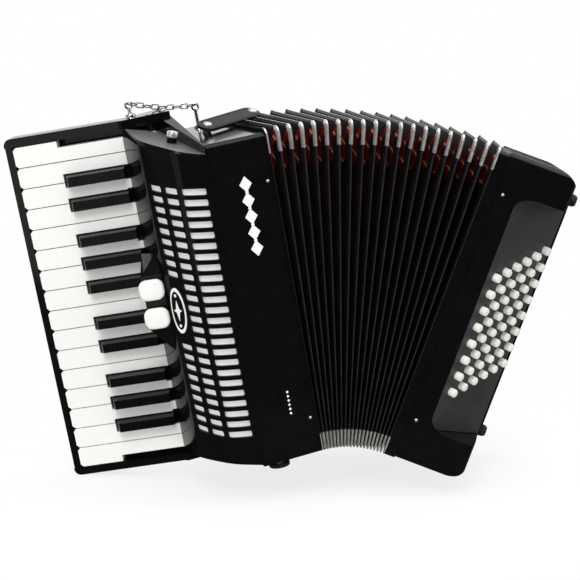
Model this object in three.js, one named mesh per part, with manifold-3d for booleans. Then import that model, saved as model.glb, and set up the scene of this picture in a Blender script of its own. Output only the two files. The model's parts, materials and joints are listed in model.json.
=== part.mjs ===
// Piano accordion with 26 keys and 48 bass buttons, standing on its two outer corners
// with the bellows fanned open. Millimetres, +Z up.
//
// Three local frames are used:
//   treble    x towards the bellows, y from the front face to the back, z up the casing
//   keyboard  the treble frame turned about z; x along the keys, y into the keyboard
//   bass      the treble frame carried round by the open bellows
import * as THREE from 'three';
import { ConvexGeometry } from 'three/addons/geometries/ConvexGeometry.js';
import Module from 'manifold-3d';

const wasm = await Module();
wasm.setup();
const { Manifold, Mesh: SolidMesh } = wasm;

// ---------------------------------------------------------------- driving dimensions
const GAP = 0.3;                  // clearance between neighbouring pieces
const HEIGHT = 310;               // casings, top to bottom
const DEPTH = 176;                // casings, front to back
const WALL = 4;
const EDGE_RADIUS = 6;            // long edges of the casings
const TREBLE_WIDTH = 54.6;
const TREBLE_TILT = 10.5;         // degrees the treble half leans

const FOLD_COUNT = 19;
const FOLD_PITCH = 3.3;           // closed
const FOLD_DEPTH = 22;
const LINING = 3;                 // card behind the folds
const BELLOWS_START = TREBLE_WIDTH + 3.4;
const BELLOWS_CLOSED = FOLD_COUNT * FOLD_PITCH;
const BELLOWS_OPEN = THREE.MathUtils.degToRad(39.4);
const HINGE_LEAN = THREE.MathUtils.degToRad(40.1);
const HINGE_AXIS = new THREE.Vector3(0, Math.cos(HINGE_LEAN), -Math.sin(HINGE_LEAN));
const HINGE_POINT = new THREE.Vector3(BELLOWS_START + BELLOWS_CLOSED / 2, 0.5, 0.65);

const WHITE_PITCH = 20.5;
const WHITE_COUNT = 16;
const KEY_GAP = 0.9;
const KEY_VISIBLE = 107;          // front end to the grille
const KEY_THICK = 12;
const KEY_HEAD = 116;             // front end to the lever
const BLACK_START = 44.5;           // front of a black key, from the white key's front
const BLACK_WIDTH = 12;
const BLACK_RISE = 11;
const BLACK_PAIR = [1.5, -2.1];   // how far the heads of a pair stand from the lines between white keys
const BLACK_TRIPLE = [3.2, 0.6, -2.8];
const KEYBOARD_YAW = THREE.MathUtils.degToRad(23.9);
const KEYBOARD_ORIGIN = new THREE.Vector3(-148.1, 153, 0);
const KEY_BOTTOM = -0.3;          // lower side of the highest note
const FRAME_DEPTH = 22;
const CHEEK = 8;                  // thickness of the keyboard frame's two ends
const FRONT_RIM = 7;
const AXLE = { x: -22, y: 110, radius: 2 };

const PANEL_X = 11.2;             // bass casing, bellows side
const BASS_WIDTH = 83.6;
const BOARD_START = 31;           // front edge of the sloped button board
const BOARD_END_Y = 66;           // where the board meets the end of the casing
const BOARD_LOW = 38;
const BOARD_HIGH = 277;
const BOARD_CORNER = 13;
const BUTTON_RADIUS = 4.5;
const BUTTON_SIDES = 8;
const BUTTON_ROWS = 6;
const BUTTONS_PER_ROW = 8;
const BUTTON_PITCH = 16.8;
const ROW_PITCH = 12.5;
const ROW_SLANT = 7.3;
const FIRST_BUTTON = { along: 14, z: 78.6 };

// Note order from the top of the keyboard down: is there a black key above this white one?
const BLACK_ABOVE = [0, 0, 1, 1, 0, 1, 1, 1, 0, 1, 1, 0, 1, 1, 1, 0];

// ---------------------------------------------------------------- materials
const finish = (color, roughness, metalness = 0) =>
  new THREE.MeshStandardMaterial({ color, roughness, metalness });
const GLOSS_BLACK = finish(0x0b0b0c, 0.18);
const SATIN_GREY = finish(0x3c3d3f, 0.5);
const WHITE_PLASTIC = finish(0xf2f1ec, 0.25);
const IVORY = finish(0xe9e6d8, 0.3);
const CHROME = finish(0xc9ccd0, 0.2, 1);
const SILVER_CLOTH = finish(0xc4c6c6, 0.6, 0.2);
const WOOD = finish(0xb28a5a, 0.6);
const LEATHER = finish(0x141414, 0.6);
const BELLOWS_CARD = finish(0x1a1516, 0.75);
const RUBBER = finish(0x0d0d0d, 0.8);

// ---------------------------------------------------------------- solids
function toSolid(geometry) {
  const flat = geometry.index ? geometry.toNonIndexed() : geometry;
  const positions = flat.getAttribute('position').array;
  const count = positions.length / 3;
  const mesh = new SolidMesh({
    numProp: 3,
    vertProperties: Float32Array.from(positions),
    triVerts: Uint32Array.from({ length: count }, (_, i) => i),
  });
  mesh.merge();
  return new Manifold(mesh);
}

function toGeometry(solid) {
  const mesh = solid.getMesh();
  const geometry = new THREE.BufferGeometry();
  geometry.setAttribute('position', new THREE.BufferAttribute(mesh.vertProperties, mesh.numProp));
  geometry.setIndex(new THREE.BufferAttribute(mesh.triVerts, 1));
  const flat = geometry.toNonIndexed();
  flat.computeVertexNormals();
  return flat;
}

const join = (parts) => parts.reduce((sum, part) => sum.add(part));

function boxGeometry([x0, x1], [y0, y1], [z0, z1]) {
  return new THREE.BoxGeometry(x1 - x0, y1 - y0, z1 - z0)
    .translate((x0 + x1) / 2, (y0 + y1) / 2, (z0 + z1) / 2);
}
const box = (x, y, z) => toSolid(boxGeometry(x, y, z));

// A flat outline in x and y, pulled up from z0 to z1.
function prismGeometry(outline, z0, z1) {
  const shape = outline instanceof THREE.Shape
    ? outline
    : new THREE.Shape(outline.map(([x, y]) => new THREE.Vector2(x, y)));
  return new THREE.ExtrudeGeometry(shape, { depth: z1 - z0, bevelEnabled: false, curveSegments: 5 })
    .translate(0, 0, z0);
}
const prism = (outline, z0, z1) => toSolid(prismGeometry(outline, z0, z1));

// A flat outline in x and z, pulled back from y0 to y1.
function plateGeometry(outline, y0, y1) {
  return prismGeometry(outline, -y1, -y0).rotateX(Math.PI / 2);
}
const plate = (outline, y0, y1) => toSolid(plateGeometry(outline, y0, y1));

// A flat outline in y and z, pulled across from x0 to x1.
const toSide = new THREE.Matrix4().makeBasis(
  new THREE.Vector3(0, 1, 0), new THREE.Vector3(0, 0, 1), new THREE.Vector3(1, 0, 0));
const sidePlate = (outline, [x0, x1]) =>
  toSolid(prismGeometry(outline, x0, x1).applyMatrix4(toSide));

// The corners of a rectangle, each rounded with its own number of steps.
function roundedOutline([u0, u1], [v0, v1], radius, steps = 6) {
  const corners = [[u1, v1, -1, -1], [u0, v1, 1, -1], [u0, v0, 1, 1], [u1, v0, -1, 1]];
  return corners.flatMap(([u, v, inU, inV], quarter) =>
    Array.from({ length: steps + 1 }, (_, i) => {
      const angle = Math.PI / 2 * (quarter + i / steps);
      return [u + inU * radius + radius * Math.cos(angle), v + inV * radius + radius * Math.sin(angle)];
    }));
}

const hull = (points) =>
  toSolid(new ConvexGeometry(points.map(([x, y, z]) => new THREE.Vector3(x, y, z))));

// A round bar between two points.
function barGeometry(from, to, radius, sides = 12, endRadius = radius) {
  const a = new THREE.Vector3(...from);
  const b = new THREE.Vector3(...to);
  const axis = b.clone().sub(a);
  const turn = new THREE.Quaternion().setFromUnitVectors(
    new THREE.Vector3(0, 1, 0), axis.clone().normalize());
  const middle = a.clone().add(b).multiplyScalar(0.5);
  return new THREE.CylinderGeometry(endRadius, radius, axis.length(), sides)
    .applyQuaternion(turn)
    .translate(middle.x, middle.y, middle.z);
}
const bar = (...args) => toSolid(barGeometry(...args));

// A turned piece with its base at `from`, pointing along `direction`; profile is [radius, height].
function turned(profile, from, direction, sides = 16) {
  const turn = new THREE.Quaternion().setFromUnitVectors(
    new THREE.Vector3(0, 1, 0), new THREE.Vector3(...direction).normalize());
  const points = profile.map(([r, h]) => new THREE.Vector2(r, h));
  return toSolid(new THREE.LatheGeometry(points, sides)
    .applyQuaternion(turn)
    .translate(...from));
}

const moved = (solid, matrix) => toSolid(toGeometry(solid).applyMatrix4(matrix));

// ---------------------------------------------------------------- frames
const group = new THREE.Group();
group.name = 'piano_accordion';
const treble = new THREE.Group();
const bass = new THREE.Group();
group.add(treble);
treble.add(bass);
treble.rotation.y = -THREE.MathUtils.degToRad(TREBLE_TILT);

const about = (point, axis, angle) =>
  new THREE.Matrix4().makeTranslation(point.x, point.y, point.z)
    .multiply(new THREE.Matrix4().makeRotationAxis(axis, angle))
    .multiply(new THREE.Matrix4().makeTranslation(-point.x, -point.y, -point.z));

bass.applyMatrix4(about(HINGE_POINT, HINGE_AXIS, BELLOWS_OPEN)
  .multiply(new THREE.Matrix4().makeTranslation(BELLOWS_START + BELLOWS_CLOSED, 0, 0)));

const keyboardToTreble = new THREE.Matrix4()
  .makeTranslation(KEYBOARD_ORIGIN.x, KEYBOARD_ORIGIN.y, 0)
  .multiply(new THREE.Matrix4().makeRotationZ(-KEYBOARD_YAW));

function add(parent, name, solid, material) {
  const geometry = solid.isBufferGeometry ? solid : toGeometry(solid);
  const mesh = new THREE.Mesh(geometry, material);
  mesh.name = name;
  parent.add(mesh);
}

// A keyboard-frame point given in treble coordinates.
function onKeyboard(along, into) {
  const p = new THREE.Vector3(along, into, 0).applyMatrix4(keyboardToTreble);
  return [p.x, p.y];
}

// ---------------------------------------------------------------- treble casing
const INNER_Z = [WALL, HEIGHT - WALL];
const trebleShell = sidePlate(roundedOutline([0, DEPTH], [0, HEIGHT], EDGE_RADIUS), [0, TREBLE_WIDTH])
  .subtract(box([-1, TREBLE_WIDTH + 1], [WALL, DEPTH - WALL], INNER_Z));
add(treble, 'treble_casing', trebleShell, GLOSS_BLACK);

const INSIDE_Y = [WALL + GAP, DEPTH - WALL - GAP];
const INSIDE_Z = [WALL + GAP, HEIGHT - WALL - GAP];
const BOARD_X = [0.5, 4.5];
// The levers lean together on their way to the pallets, because the keyboard is longer than the
// casing. This is the height of a lever at a given distance from the front.
const WHITE_PALLET_Y = [18, 54];
const BLACK_PALLET_Y = [62, 92];
const WHITE_PALLET_HALF = 7.5;
const BLACK_PALLET_HALF = 6;
const LEVER_SQUEEZE = 0.16;
const keyboardMiddle = KEY_BOTTOM + WHITE_COUNT * WHITE_PITCH / 2;
function leverZ(keyZ, y) {
  const reach = (AXLE.y - y) / (AXLE.y - WHITE_PALLET_Y[0]);
  const target = HEIGHT / 2 + (keyZ - keyboardMiddle) * (1 - LEVER_SQUEEZE);
  return keyZ + (target - keyZ) * reach;
}
// A block that follows the lever between two distances from the front.
const leverBlock = ([x0, x1], [y0, y1], keyZ, half) => hull([x0, x1].flatMap((x) =>
  [y0, y1].flatMap((y) => [[x, y, leverZ(keyZ, y) - half], [x, y, leverZ(keyZ, y) + half]])));

const whiteZ = (i) => KEY_BOTTOM + (WHITE_COUNT - 0.5 - i) * WHITE_PITCH;
const blackKeys = BLACK_ABOVE
  .map((isBlack, i) => (isBlack ? whiteZ(i) + WHITE_PITCH / 2 : null))
  .filter((z) => z !== null);
// How far the black head above white key i is shifted along the keyboard.
const headShift = BLACK_ABOVE.map((isBlack, i) => {
  if (!isBlack) return 0;
  let first = i;
  while (BLACK_ABOVE[first - 1]) first -= 1;
  let count = i - first;
  while (BLACK_ABOVE[first + count]) count += 1;
  return (count === 2 ? BLACK_PAIR : BLACK_TRIPLE)[i - first];
});
const pallets = [
  ...Array.from({ length: WHITE_COUNT }, (_, i) =>
    ({ z: whiteZ(i), y: WHITE_PALLET_Y, half: WHITE_PALLET_HALF })),
  ...blackKeys.map((z) => ({ z, y: BLACK_PALLET_Y, half: BLACK_PALLET_HALF })),
];
const airHoles = join(pallets.map(({ z, y, half }) =>
  leverBlock([-1, 6], [y[0] + 4, y[1] - 4], z, half - 3)));
add(treble, 'pallet_board', box(BOARD_X, INSIDE_Y, INSIDE_Z).subtract(airHoles), WOOD);

const REED_X = [BOARD_X[1] + GAP, TREBLE_WIDTH - 8];
add(treble, 'treble_reed_block', join([
  box(REED_X, [14, 58], [20, 290]),
  box([REED_X[0], REED_X[0] + 3], [50, 104], [20, 290]),
  box(REED_X, [62, 96], [20, 290]),
]), WOOD);

const FRAME_RING = 14;
const ringFrame = (x, lip) => sidePlate(roundedOutline([0, DEPTH], [0, HEIGHT], EDGE_RADIUS), x)
  .subtract(box([x[0] - 1, x[1] + 1], [lip, DEPTH - lip], [lip, HEIGHT - lip]));
add(treble, 'treble_bellows_frame',
  ringFrame([TREBLE_WIDTH + GAP, BELLOWS_START - GAP], FRAME_RING), GLOSS_BLACK);

// ---------------------------------------------------------------- grille
const GRILLE_WALL = 2.5;
const GRILLE_END_Y = 105.5;
const GRILLE_CAP_Y = 98;          // the two end caps stop here, in front of the key levers
const GRILLE_PROFILE = [
  [-GAP, 0], [-26, 1.2], [-33, 6], [-42, 19], [-50, 34], [-53, 62], [-50.5, GRILLE_END_Y],
];
const GRILLE_INSIDE = [
  [5, GRILLE_WALL], [-25.4, 3.8], [-31.4, 8], [-39.8, 20.2], [-47.6, 35], [-50.5, 62.3], [-48, 130], [5, 130],
];
// Both ends are sloping flats: the height at a point of each.
const grilleTop = (x, y) => 301.3 - 0.3 * x + 0.12 * y;
const grilleFoot = (x, y) => 3 - 0.3 * x - 0.09 * y;
const betweenEnds = (inset) => hull([[-80, -10], [10, -10], [10, 140], [-80, 140]].flatMap(([x, y]) =>
  [[x, y, grilleFoot(x, y) + inset], [x, y, grilleTop(x, y) - inset]]));
const grilleOutside = prism([...GRILLE_PROFILE, [-GAP, GRILLE_END_Y]], -40, 380).intersect(betweenEnds(0));
const grilleShell = grilleOutside
  .subtract(prism(GRILLE_INSIDE, -50, 390).intersect(betweenEnds(GRILLE_WALL)))
  .subtract(box([-48, 5], [GRILLE_CAP_Y, 140], [-30, 380]));

// Sound slots: a wide column on the front band and two short columns on the slope beside it.
// A slot rises towards the keys, and its place is its distance round the profile.
const SLOT_ROWS = 24;
const SLOT_TOP = 268.9;
const SLOT_PITCH = 10.1;
const SLOT_HEIGHT = 6;
const SLOT_RISE = 0.17;
const BADGE_ROWS = [9, 15];
function alongProfile(distance) {
  let left = distance;
  for (let i = 1; i < GRILLE_PROFILE.length; i += 1) {
    const from = new THREE.Vector2(...GRILLE_PROFILE[i - 1]);
    const to = new THREE.Vector2(...GRILLE_PROFILE[i]);
    const length = from.distanceTo(to);
    if (left <= length) return from.lerp(to, left / length);
    left -= length;
  }
  return new THREE.Vector2(...GRILLE_PROFILE.at(-1));
}
function slot(row, start, end) {
  const a = alongProfile(start);
  const b = alongProfile(end);
  const outward = new THREE.Vector2(a.y - b.y, b.x - a.x).normalize();
  return hull([[a, start], [b, end]].flatMap(([point, distance]) => {
    const middle = SLOT_TOP - row * SLOT_PITCH + (distance - 6.5) * SLOT_RISE;
    return [-5, 4].flatMap((out) => [-0.5, 0.5].map((side) => [
      point.x + outward.x * out, point.y + outward.y * out, middle + side * SLOT_HEIGHT]));
  }));
}
const slots = [];
for (let row = 0; row < SLOT_ROWS; row += 1) {
  slots.push(slot(row, 6.6, 29.2), slot(row, 33.8, 48.2));
  if (row < BADGE_ROWS[0] || row >= BADGE_ROWS[1]) slots.push(slot(row, 51.9, 67.6));
}
add(treble, 'grille', grilleShell.subtract(join(slots)), GLOSS_BLACK);

// The cloth is a thin sheet that follows the inside of the grille behind the slots.
const clothPath = [[-3, 3.2], [-25.1, 4.4], [-30.9, 8.5], [-39.2, 20.5], [-46.6, 34.5]];
const clothBack = [...clothPath].reverse().map(([x, y]) => [x + 0.8, y + 0.8]);
add(treble, 'grille_cloth', prism([...clothPath, ...clothBack], 24, 293), SILVER_CLOTH);

// ---------------------------------------------------------------- keyboard frame and axle
const FRAME_Z = [KEY_BOTTOM - CHEEK, KEY_BOTTOM + WHITE_COUNT * WHITE_PITCH + CHEEK + 1];
const baseOutline = [
  onKeyboard(-FRONT_RIM - 1, 3), onKeyboard(-1, 3), onKeyboard(-1, FRAME_DEPTH - 4),
  onKeyboard(112, FRAME_DEPTH - 4), [-GAP, 136], [-GAP, 150],
  onKeyboard(112, FRAME_DEPTH), onKeyboard(-FRONT_RIM - 1, FRAME_DEPTH),
];
const cheekOutline = [
  onKeyboard(-FRONT_RIM - 1, 0), onKeyboard(106, 0), [-49, GRILLE_END_Y + 1], [-GAP, GRILLE_END_Y + 1],
  [-GAP, 150], onKeyboard(112, FRAME_DEPTH), onKeyboard(-FRONT_RIM - 1, FRAME_DEPTH),
];
const axleHole = bar([AXLE.x, AXLE.y, -30], [AXLE.x, AXLE.y, 360], AXLE.radius + GAP, 10);
// A rim stands on the grille's upper flat and joins the keyboard frame to the casing's front corner.
const rim = hull([
  ...[[-GAP, 302.1], [-GAP, 309.4], [-1.5, 302.4], [-1.5, 309.4]].map(([x, z]) => [x, 0.4, z]),
  ...[[-GAP, 314.9], [-GAP, 333], [-12, 318.6], [-12, 333]].map(([x, z]) => [x, 110, z]),
]);
const FRAME_CORNER = 7;
const frameOutline = roundedOutline([-FRONT_RIM - 1, 60], FRAME_Z, FRAME_CORNER, 6)
  .filter(([along]) => along < 30);
const roundedFront = hull([-80, 120].flatMap((into) =>
  [...frameOutline, [320, FRAME_Z[0]], [320, FRAME_Z[1]]].map(([along, z]) => [along, into, z])));
const keyboardFrame = join([
  rim,
  prism(baseOutline, ...FRAME_Z),
  prism(cheekOutline, FRAME_Z[0], KEY_BOTTOM - 0.5),
  prism(cheekOutline, FRAME_Z[1] - CHEEK - 0.5, FRAME_Z[1]),
]).subtract(axleHole).intersect(moved(roundedFront, keyboardToTreble));
add(treble, 'keyboard_frame', keyboardFrame, GLOSS_BLACK);
add(treble, 'key_axle', barGeometry(
  [AXLE.x, AXLE.y, FRAME_Z[0] + 1], [AXLE.x, AXLE.y, FRAME_Z[1] - 1], AXLE.radius, 10), CHROME);

// ---------------------------------------------------------------- keys
const LEVER_HALF = 2;
const TAIL_GAP = BLACK_WIDTH / 2 + 0.8;
const NECK = { start: 104, half: 5 };  // from here the black heads stand straight on their levers

// The lever turns on the axle and carries a pallet that covers one air hole.
function keyLever(keyZ, palletY, half) {
  const middle = (palletY[0] + palletY[1]) / 2;
  const headEnd = [onKeyboard(KEY_HEAD - 6, 2), onKeyboard(KEY_HEAD - 6, KEY_THICK - 1)];
  const knee = [[AXLE.x - 2, AXLE.y - 6], [AXLE.x + 5, AXLE.y - 3], [AXLE.x + 3, AXLE.y + 6]];
  const arm = [[AXLE.x - 1, AXLE.y - 4], [AXLE.x + 4, AXLE.y - 4], [-11, middle], [-5, middle]];
  const slice = (points, halfWidth, zAt) => points.flatMap(([x, y]) =>
    [[x, y, zAt(y) - halfWidth], [x, y, zAt(y) + halfWidth]]);
  return join([
    hull(slice([...headEnd, ...knee], LEVER_HALF + 1, () => keyZ)),
    hull(slice(arm, LEVER_HALF, (y) => leverZ(keyZ, y))),
    leverBlock([-5.8, BOARD_X[0] - 0.15], palletY, keyZ, half),
  ]).subtract(axleHole);
}

function whiteKey(i) {
  const z = whiteZ(i);
  const low = z - WHITE_PITCH / 2 + KEY_GAP / 2;
  const high = z + WHITE_PITCH / 2 - KEY_GAP / 2;
  const cutAbove = BLACK_ABOVE[i] || i === 0;
  const cutBelow = BLACK_ABOVE[i + 1] || i === WHITE_COUNT - 1;
  const lineAbove = z + WHITE_PITCH / 2;
  const lineBelow = z - WHITE_PITCH / 2;
  const tailHigh = cutAbove ? lineAbove + headShift[i] - TAIL_GAP : high;
  const tailLow = cutBelow ? lineBelow + (headShift[i + 1] ?? 0) + TAIL_GAP : low;
  const neckHigh = cutAbove ? Math.min(tailHigh, lineAbove - NECK.half - 0.8) : high;
  const neckLow = cutBelow ? Math.max(tailLow, lineBelow + NECK.half + 0.8) : low;
  const cut = BLACK_START - 1;
  const neck = NECK.start - 1;
  const outline = [
    [2.5, low], [KEY_VISIBLE + 2, low], [KEY_VISIBLE + 2, high], [2.5, high], [0, high - 2.5], [0, low + 2.5],
  ];
  let head = plate(outline, 0, KEY_THICK)
    .add(plate([[cut, tailLow], [KEY_HEAD, tailLow], [KEY_HEAD, tailHigh], [cut, tailHigh]], 0.6, KEY_THICK));
  const cutter = (from, z0, z1) => box([from, KEY_HEAD + 9], [-5, 40], [z0, z1]);
  head = head.subtract(cutter(cut, tailHigh, high + 5)).subtract(cutter(cut, low - 5, tailLow))
    .subtract(cutter(neck, neckHigh, high + 5)).subtract(cutter(neck, low - 5, neckLow));
  return moved(head, keyboardToTreble).add(keyLever(z, WHITE_PALLET_Y, WHITE_PALLET_HALF));
}

function blackKey(line, shift) {
  const z = line + shift;
  const top = BLACK_WIDTH / 2 - 1.6;
  const foot = BLACK_WIDTH / 2;
  const end = KEY_VISIBLE - 2;
  const head = join([
    hull([
      [BLACK_START, 2, z - foot], [BLACK_START, 2, z + foot], [end, 2, z - foot], [end, 2, z + foot],
      [BLACK_START + 5, -BLACK_RISE, z - top], [BLACK_START + 5, -BLACK_RISE, z + top],
      [end, -BLACK_RISE, z - top], [end, -BLACK_RISE, z + top],
    ]),
    box([BLACK_START, KEY_VISIBLE + 1.5], [1, KEY_THICK], [z - foot, z + foot]),
    box([NECK.start, KEY_HEAD], [1, KEY_THICK], [line - NECK.half, line + NECK.half]),
  ]);
  return moved(head, keyboardToTreble).add(keyLever(line, BLACK_PALLET_Y, BLACK_PALLET_HALF));
}

const numbered = (name, i) => `${name}_${String(i + 1).padStart(2, '0')}`;
for (let i = 0; i < WHITE_COUNT; i += 1) {
  add(treble, numbered('white_key', i), whiteKey(i), WHITE_PLASTIC);
}
const blackShift = headShift.filter((_, i) => BLACK_ABOVE[i]);
blackKeys.forEach((z, i) => {
  add(treble, numbered('black_key', i), blackKey(z, blackShift[i]), GLOSS_BLACK);
});

// ---------------------------------------------------------------- register switches
// A faceted block on the side of the grille stands out over the keys and carries two rocking tabs.
const REGISTER_Z = 169;
const REGISTER_FRONT = -58;
const REGISTER_BACK = -BLACK_RISE - 2.5;
const REGISTER_CORNERS = [        // along, into, z
  [110.5, REGISTER_FRONT, 195.5], [131.5, REGISTER_FRONT, 195.5],
  [110.5, REGISTER_FRONT, 143], [131.5, REGISTER_FRONT, 143],
  [126, -48, 214], [131, -57, 119],
  [106, REGISTER_BACK, 209], [102, REGISTER_BACK, 133], [112, REGISTER_BACK, 209], [112, REGISTER_BACK, 133],
];
const SWITCH_PITCH = 27.5;
const SWITCH_SIZE = { along: 24.6, height: 20, back: -61, face: -65.5 };
const SWITCH_MIDDLE = 119.5;
const switchPocket = (z) => box(
  [SWITCH_MIDDLE - 8, SWITCH_MIDDLE + 8], [REGISTER_FRONT - 3, REGISTER_FRONT + 6],
  [z - SWITCH_SIZE.height / 2 + 2, z + SWITCH_SIZE.height / 2 - 2]);
const switchZ = [REGISTER_Z + SWITCH_PITCH / 2, REGISTER_Z - SWITCH_PITCH / 2];
add(treble, 'register_housing',
  moved(hull(REGISTER_CORNERS).subtract(join(switchZ.map(switchPocket))), keyboardToTreble)
    .subtract(grilleOutside), GLOSS_BLACK);
switchZ.forEach((z, i) => {
  const half = SWITCH_SIZE.height / 2;
  const side = SWITCH_SIZE.along / 2;
  const tab = join([
    hull([
      ...[[-side, SWITCH_SIZE.back], [side, SWITCH_SIZE.back],
        [1.5 - side, SWITCH_SIZE.face], [side - 1.5, SWITCH_SIZE.face]].flatMap(([along, into]) =>
        [[SWITCH_MIDDLE + along, into, z - half], [SWITCH_MIDDLE + along, into, z + half]]),
    ]),
    box([SWITCH_MIDDLE - 3, SWITCH_MIDDLE + 3], [SWITCH_SIZE.back - 0.5, REGISTER_FRONT + 4], [z - 5, z + 5]),
  ]);
  add(treble, `register_switch_${i + 1}`, moved(tab, keyboardToTreble), WHITE_PLASTIC);
});

// ---------------------------------------------------------------- top and bottom fittings
const UP = [0, 0, 1];
const DOWN = [0, 0, -1];
const STRAP_POSTS = [
  { name: 'strap_post_left', at: [-33, 131, FRAME_Z[1] + GAP], height: 14 },
  { name: 'strap_post_right', at: [38, 153, HEIGHT + GAP], height: 24 },
];
STRAP_POSTS.forEach(({ name, at, height }) => {
  const profile = [
    [0, 0], [4.5, 0], [4.5, 2], [2, 3], [2, height - 5], [3.2, height - 4], [3.2, height - 1], [0, height],
  ];
  add(treble, name, turned(profile, at, UP, 12), CHROME);
});

// The chain hangs between the two posts; here it is one cord with the chain's outer size.
const CHAIN_RADIUS = 1.6;
const chainEnds = STRAP_POSTS.map(({ at: [x, y, z], height }) =>
  new THREE.Vector3(x, y, z + height - 2.5));
const chainSide = new THREE.Vector3().subVectors(chainEnds[1], chainEnds[0]).normalize();
const chainStart = chainEnds[0].clone().addScaledVector(chainSide, 3.2 + GAP + CHAIN_RADIUS);
const chainStop = chainEnds[1].clone().addScaledVector(chainSide, -3.2 - GAP - CHAIN_RADIUS);
const chainMiddle = chainStart.clone().add(chainStop).multiplyScalar(0.5);
chainMiddle.z -= 1.5;
const chainRing = new THREE.Shape().absarc(0, 0, CHAIN_RADIUS, 0, Math.PI * 2);
add(treble, 'strap_chain', toSolid(new THREE.ExtrudeGeometry(chainRing, {
  steps: 10,
  curveSegments: 4,
  bevelEnabled: false,
  extrudePath: new THREE.CatmullRomCurve3([chainStart, chainMiddle, chainStop]),
})), CHROME);

const SCREW_PROFILE = [[0, 0], [4, 0], [4, 5], [5.5, 6], [5.5, 10], [4.5, 11], [0, 11.5]];
add(treble, 'grille_screw_top', turned(SCREW_PROFILE,
  [-18.7, 48.2, grilleTop(-18.7, 48.2) + 0.15], [0.3, -0.12, 1], 12), CHROME);

// Each closing strap turns on its rivet and reaches across the closed bellows.
function closingStrap([x, y], angle, zNear, zFar, length) {
  const half = 9;
  const outline = [
    [-half, -5], [-5, -half], [length - 6, -half], [length, -5], [length, 5], [length - 6, half],
    [-5, half], [-half, 5],
  ];
  const strap = join([
    prism(outline, Math.min(zNear, zFar), Math.max(zNear, zFar)),
    bar([0, 0, zNear], [0, 0, zFar > zNear ? HEIGHT + GAP : -GAP], 4),
    bar([0, 0, zNear], [0, 0, zFar + Math.sign(zFar - zNear)], 4),
    bar([length - 9, 0, zNear], [length - 9, 0, zFar + Math.sign(zFar - zNear)], 4.5),
  ]);
  return moved(strap, new THREE.Matrix4().makeTranslation(x, y, 0)
    .multiply(new THREE.Matrix4().makeRotationZ(THREE.MathUtils.degToRad(angle))));
}
const STRAP_TOP = { pivot: [28, 90], angle: 31, z: [HEIGHT + 6, HEIGHT + 8.5], length: 78 };
const STRAP_BOTTOM = { pivot: [18, 16], angle: 80, z: [-4, -6.5], length: 78 };
add(treble, 'closing_strap_top',
  closingStrap(STRAP_TOP.pivot, STRAP_TOP.angle, ...STRAP_TOP.z, STRAP_TOP.length), LEATHER);
add(treble, 'closing_strap_bottom',
  closingStrap(STRAP_BOTTOM.pivot, STRAP_BOTTOM.angle, ...STRAP_BOTTOM.z, STRAP_BOTTOM.length), LEATHER);

// ---------------------------------------------------------------- bellows
const foldCentre = HINGE_POINT.clone();
foldCentre.x = BELLOWS_START;
foldCentre.addScaledVector(
  new THREE.Vector3().crossVectors(HINGE_AXIS, new THREE.Vector3(1, 0, 0)),
  BELLOWS_CLOSED / 2 / Math.tan(BELLOWS_OPEN / 2));

// The outline of one fold line, a fraction of the way from the treble end to the bass end.
function foldRing(fraction, inset) {
  const y = [-1 + inset, DEPTH + 1 - inset];
  const z = [inset, HEIGHT + 3.5 - inset];
  const cut = 7;
  const corners = [
    [y[0] + cut, z[0]], [y[1] - cut, z[0]], [y[1], z[0] + cut], [y[1], z[1] - cut],
    [y[1] - cut, z[1]], [y[0] + cut, z[1]], [y[0], z[1] - cut], [y[0], z[0] + cut],
  ];
  const turn = about(foldCentre, HINGE_AXIS, BELLOWS_OPEN * fraction);
  return corners.map(([py, pz]) => new THREE.Vector3(BELLOWS_START, py, pz).applyMatrix4(turn));
}

function bellowsGeometry() {
  const steps = FOLD_COUNT * 2;
  const insets = Array.from({ length: steps + 1 }, (_, i) => (i % 2 ? FOLD_DEPTH : 0));
  const rings = insets.map((inset, i) => foldRing(i / steps, inset));
  const lining = insets.map((_, i) => foldRing(i / steps, FOLD_DEPTH + LINING));
  const loop = [...rings, ...lining.reverse()];
  const positions = [];
  const quad = (a, b, c, d) => [a, b, c, a, c, d].forEach((p) => positions.push(p.x, p.y, p.z));
  loop.forEach((ring, i) => {
    const next = loop[(i + 1) % loop.length];
    ring.forEach((p, j) => {
      const k = (j + 1) % ring.length;
      quad(p, ring[k], next[k], next[j]);
    });
  });
  const geometry = new THREE.BufferGeometry();
  geometry.setAttribute('position', new THREE.Float32BufferAttribute(positions, 3));
  geometry.computeVertexNormals();
  return geometry;
}
add(treble, 'bellows', bellowsGeometry(), BELLOWS_CARD);

// ---------------------------------------------------------------- bass casing
const BASS_Z = [1, 312];
const boardAngle = Math.atan2(BOARD_END_Y, BASS_WIDTH - BOARD_START);
const boardLength = Math.hypot(BOARD_END_Y, BASS_WIDTH - BOARD_START);
const boardToBass = new THREE.Matrix4().makeTranslation(BOARD_START, 0, 0)
  .multiply(new THREE.Matrix4().makeRotationZ(boardAngle));
const onBoard = (solid) => moved(solid, boardToBass);

const CORNER = 25;                // outer corners of the bass casing, seen from the front
const frontView = [
  ...roundedOutline([PANEL_X - 60, BASS_WIDTH], BASS_Z, CORNER, 9).filter(([x]) => x > PANEL_X),
  [PANEL_X, BASS_Z[0]], [PANEL_X, BASS_Z[1]],
].sort((a, b) => Math.atan2(a[1] - 150, a[0] - 40) - Math.atan2(b[1] - 150, b[0] - 40));
const topView = [
  [0, 0], [70.5, 0], [73.5, 0.7], [76, 2.4], [77.7, 5], [78.6, 9], [80.5, 28], [BASS_WIDTH, BOARD_END_Y],
  [BASS_WIDTH, DEPTH - 8], [BASS_WIDTH - 2.4, DEPTH - 2.4], [BASS_WIDTH - 8, DEPTH], [0, DEPTH],
];
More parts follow.
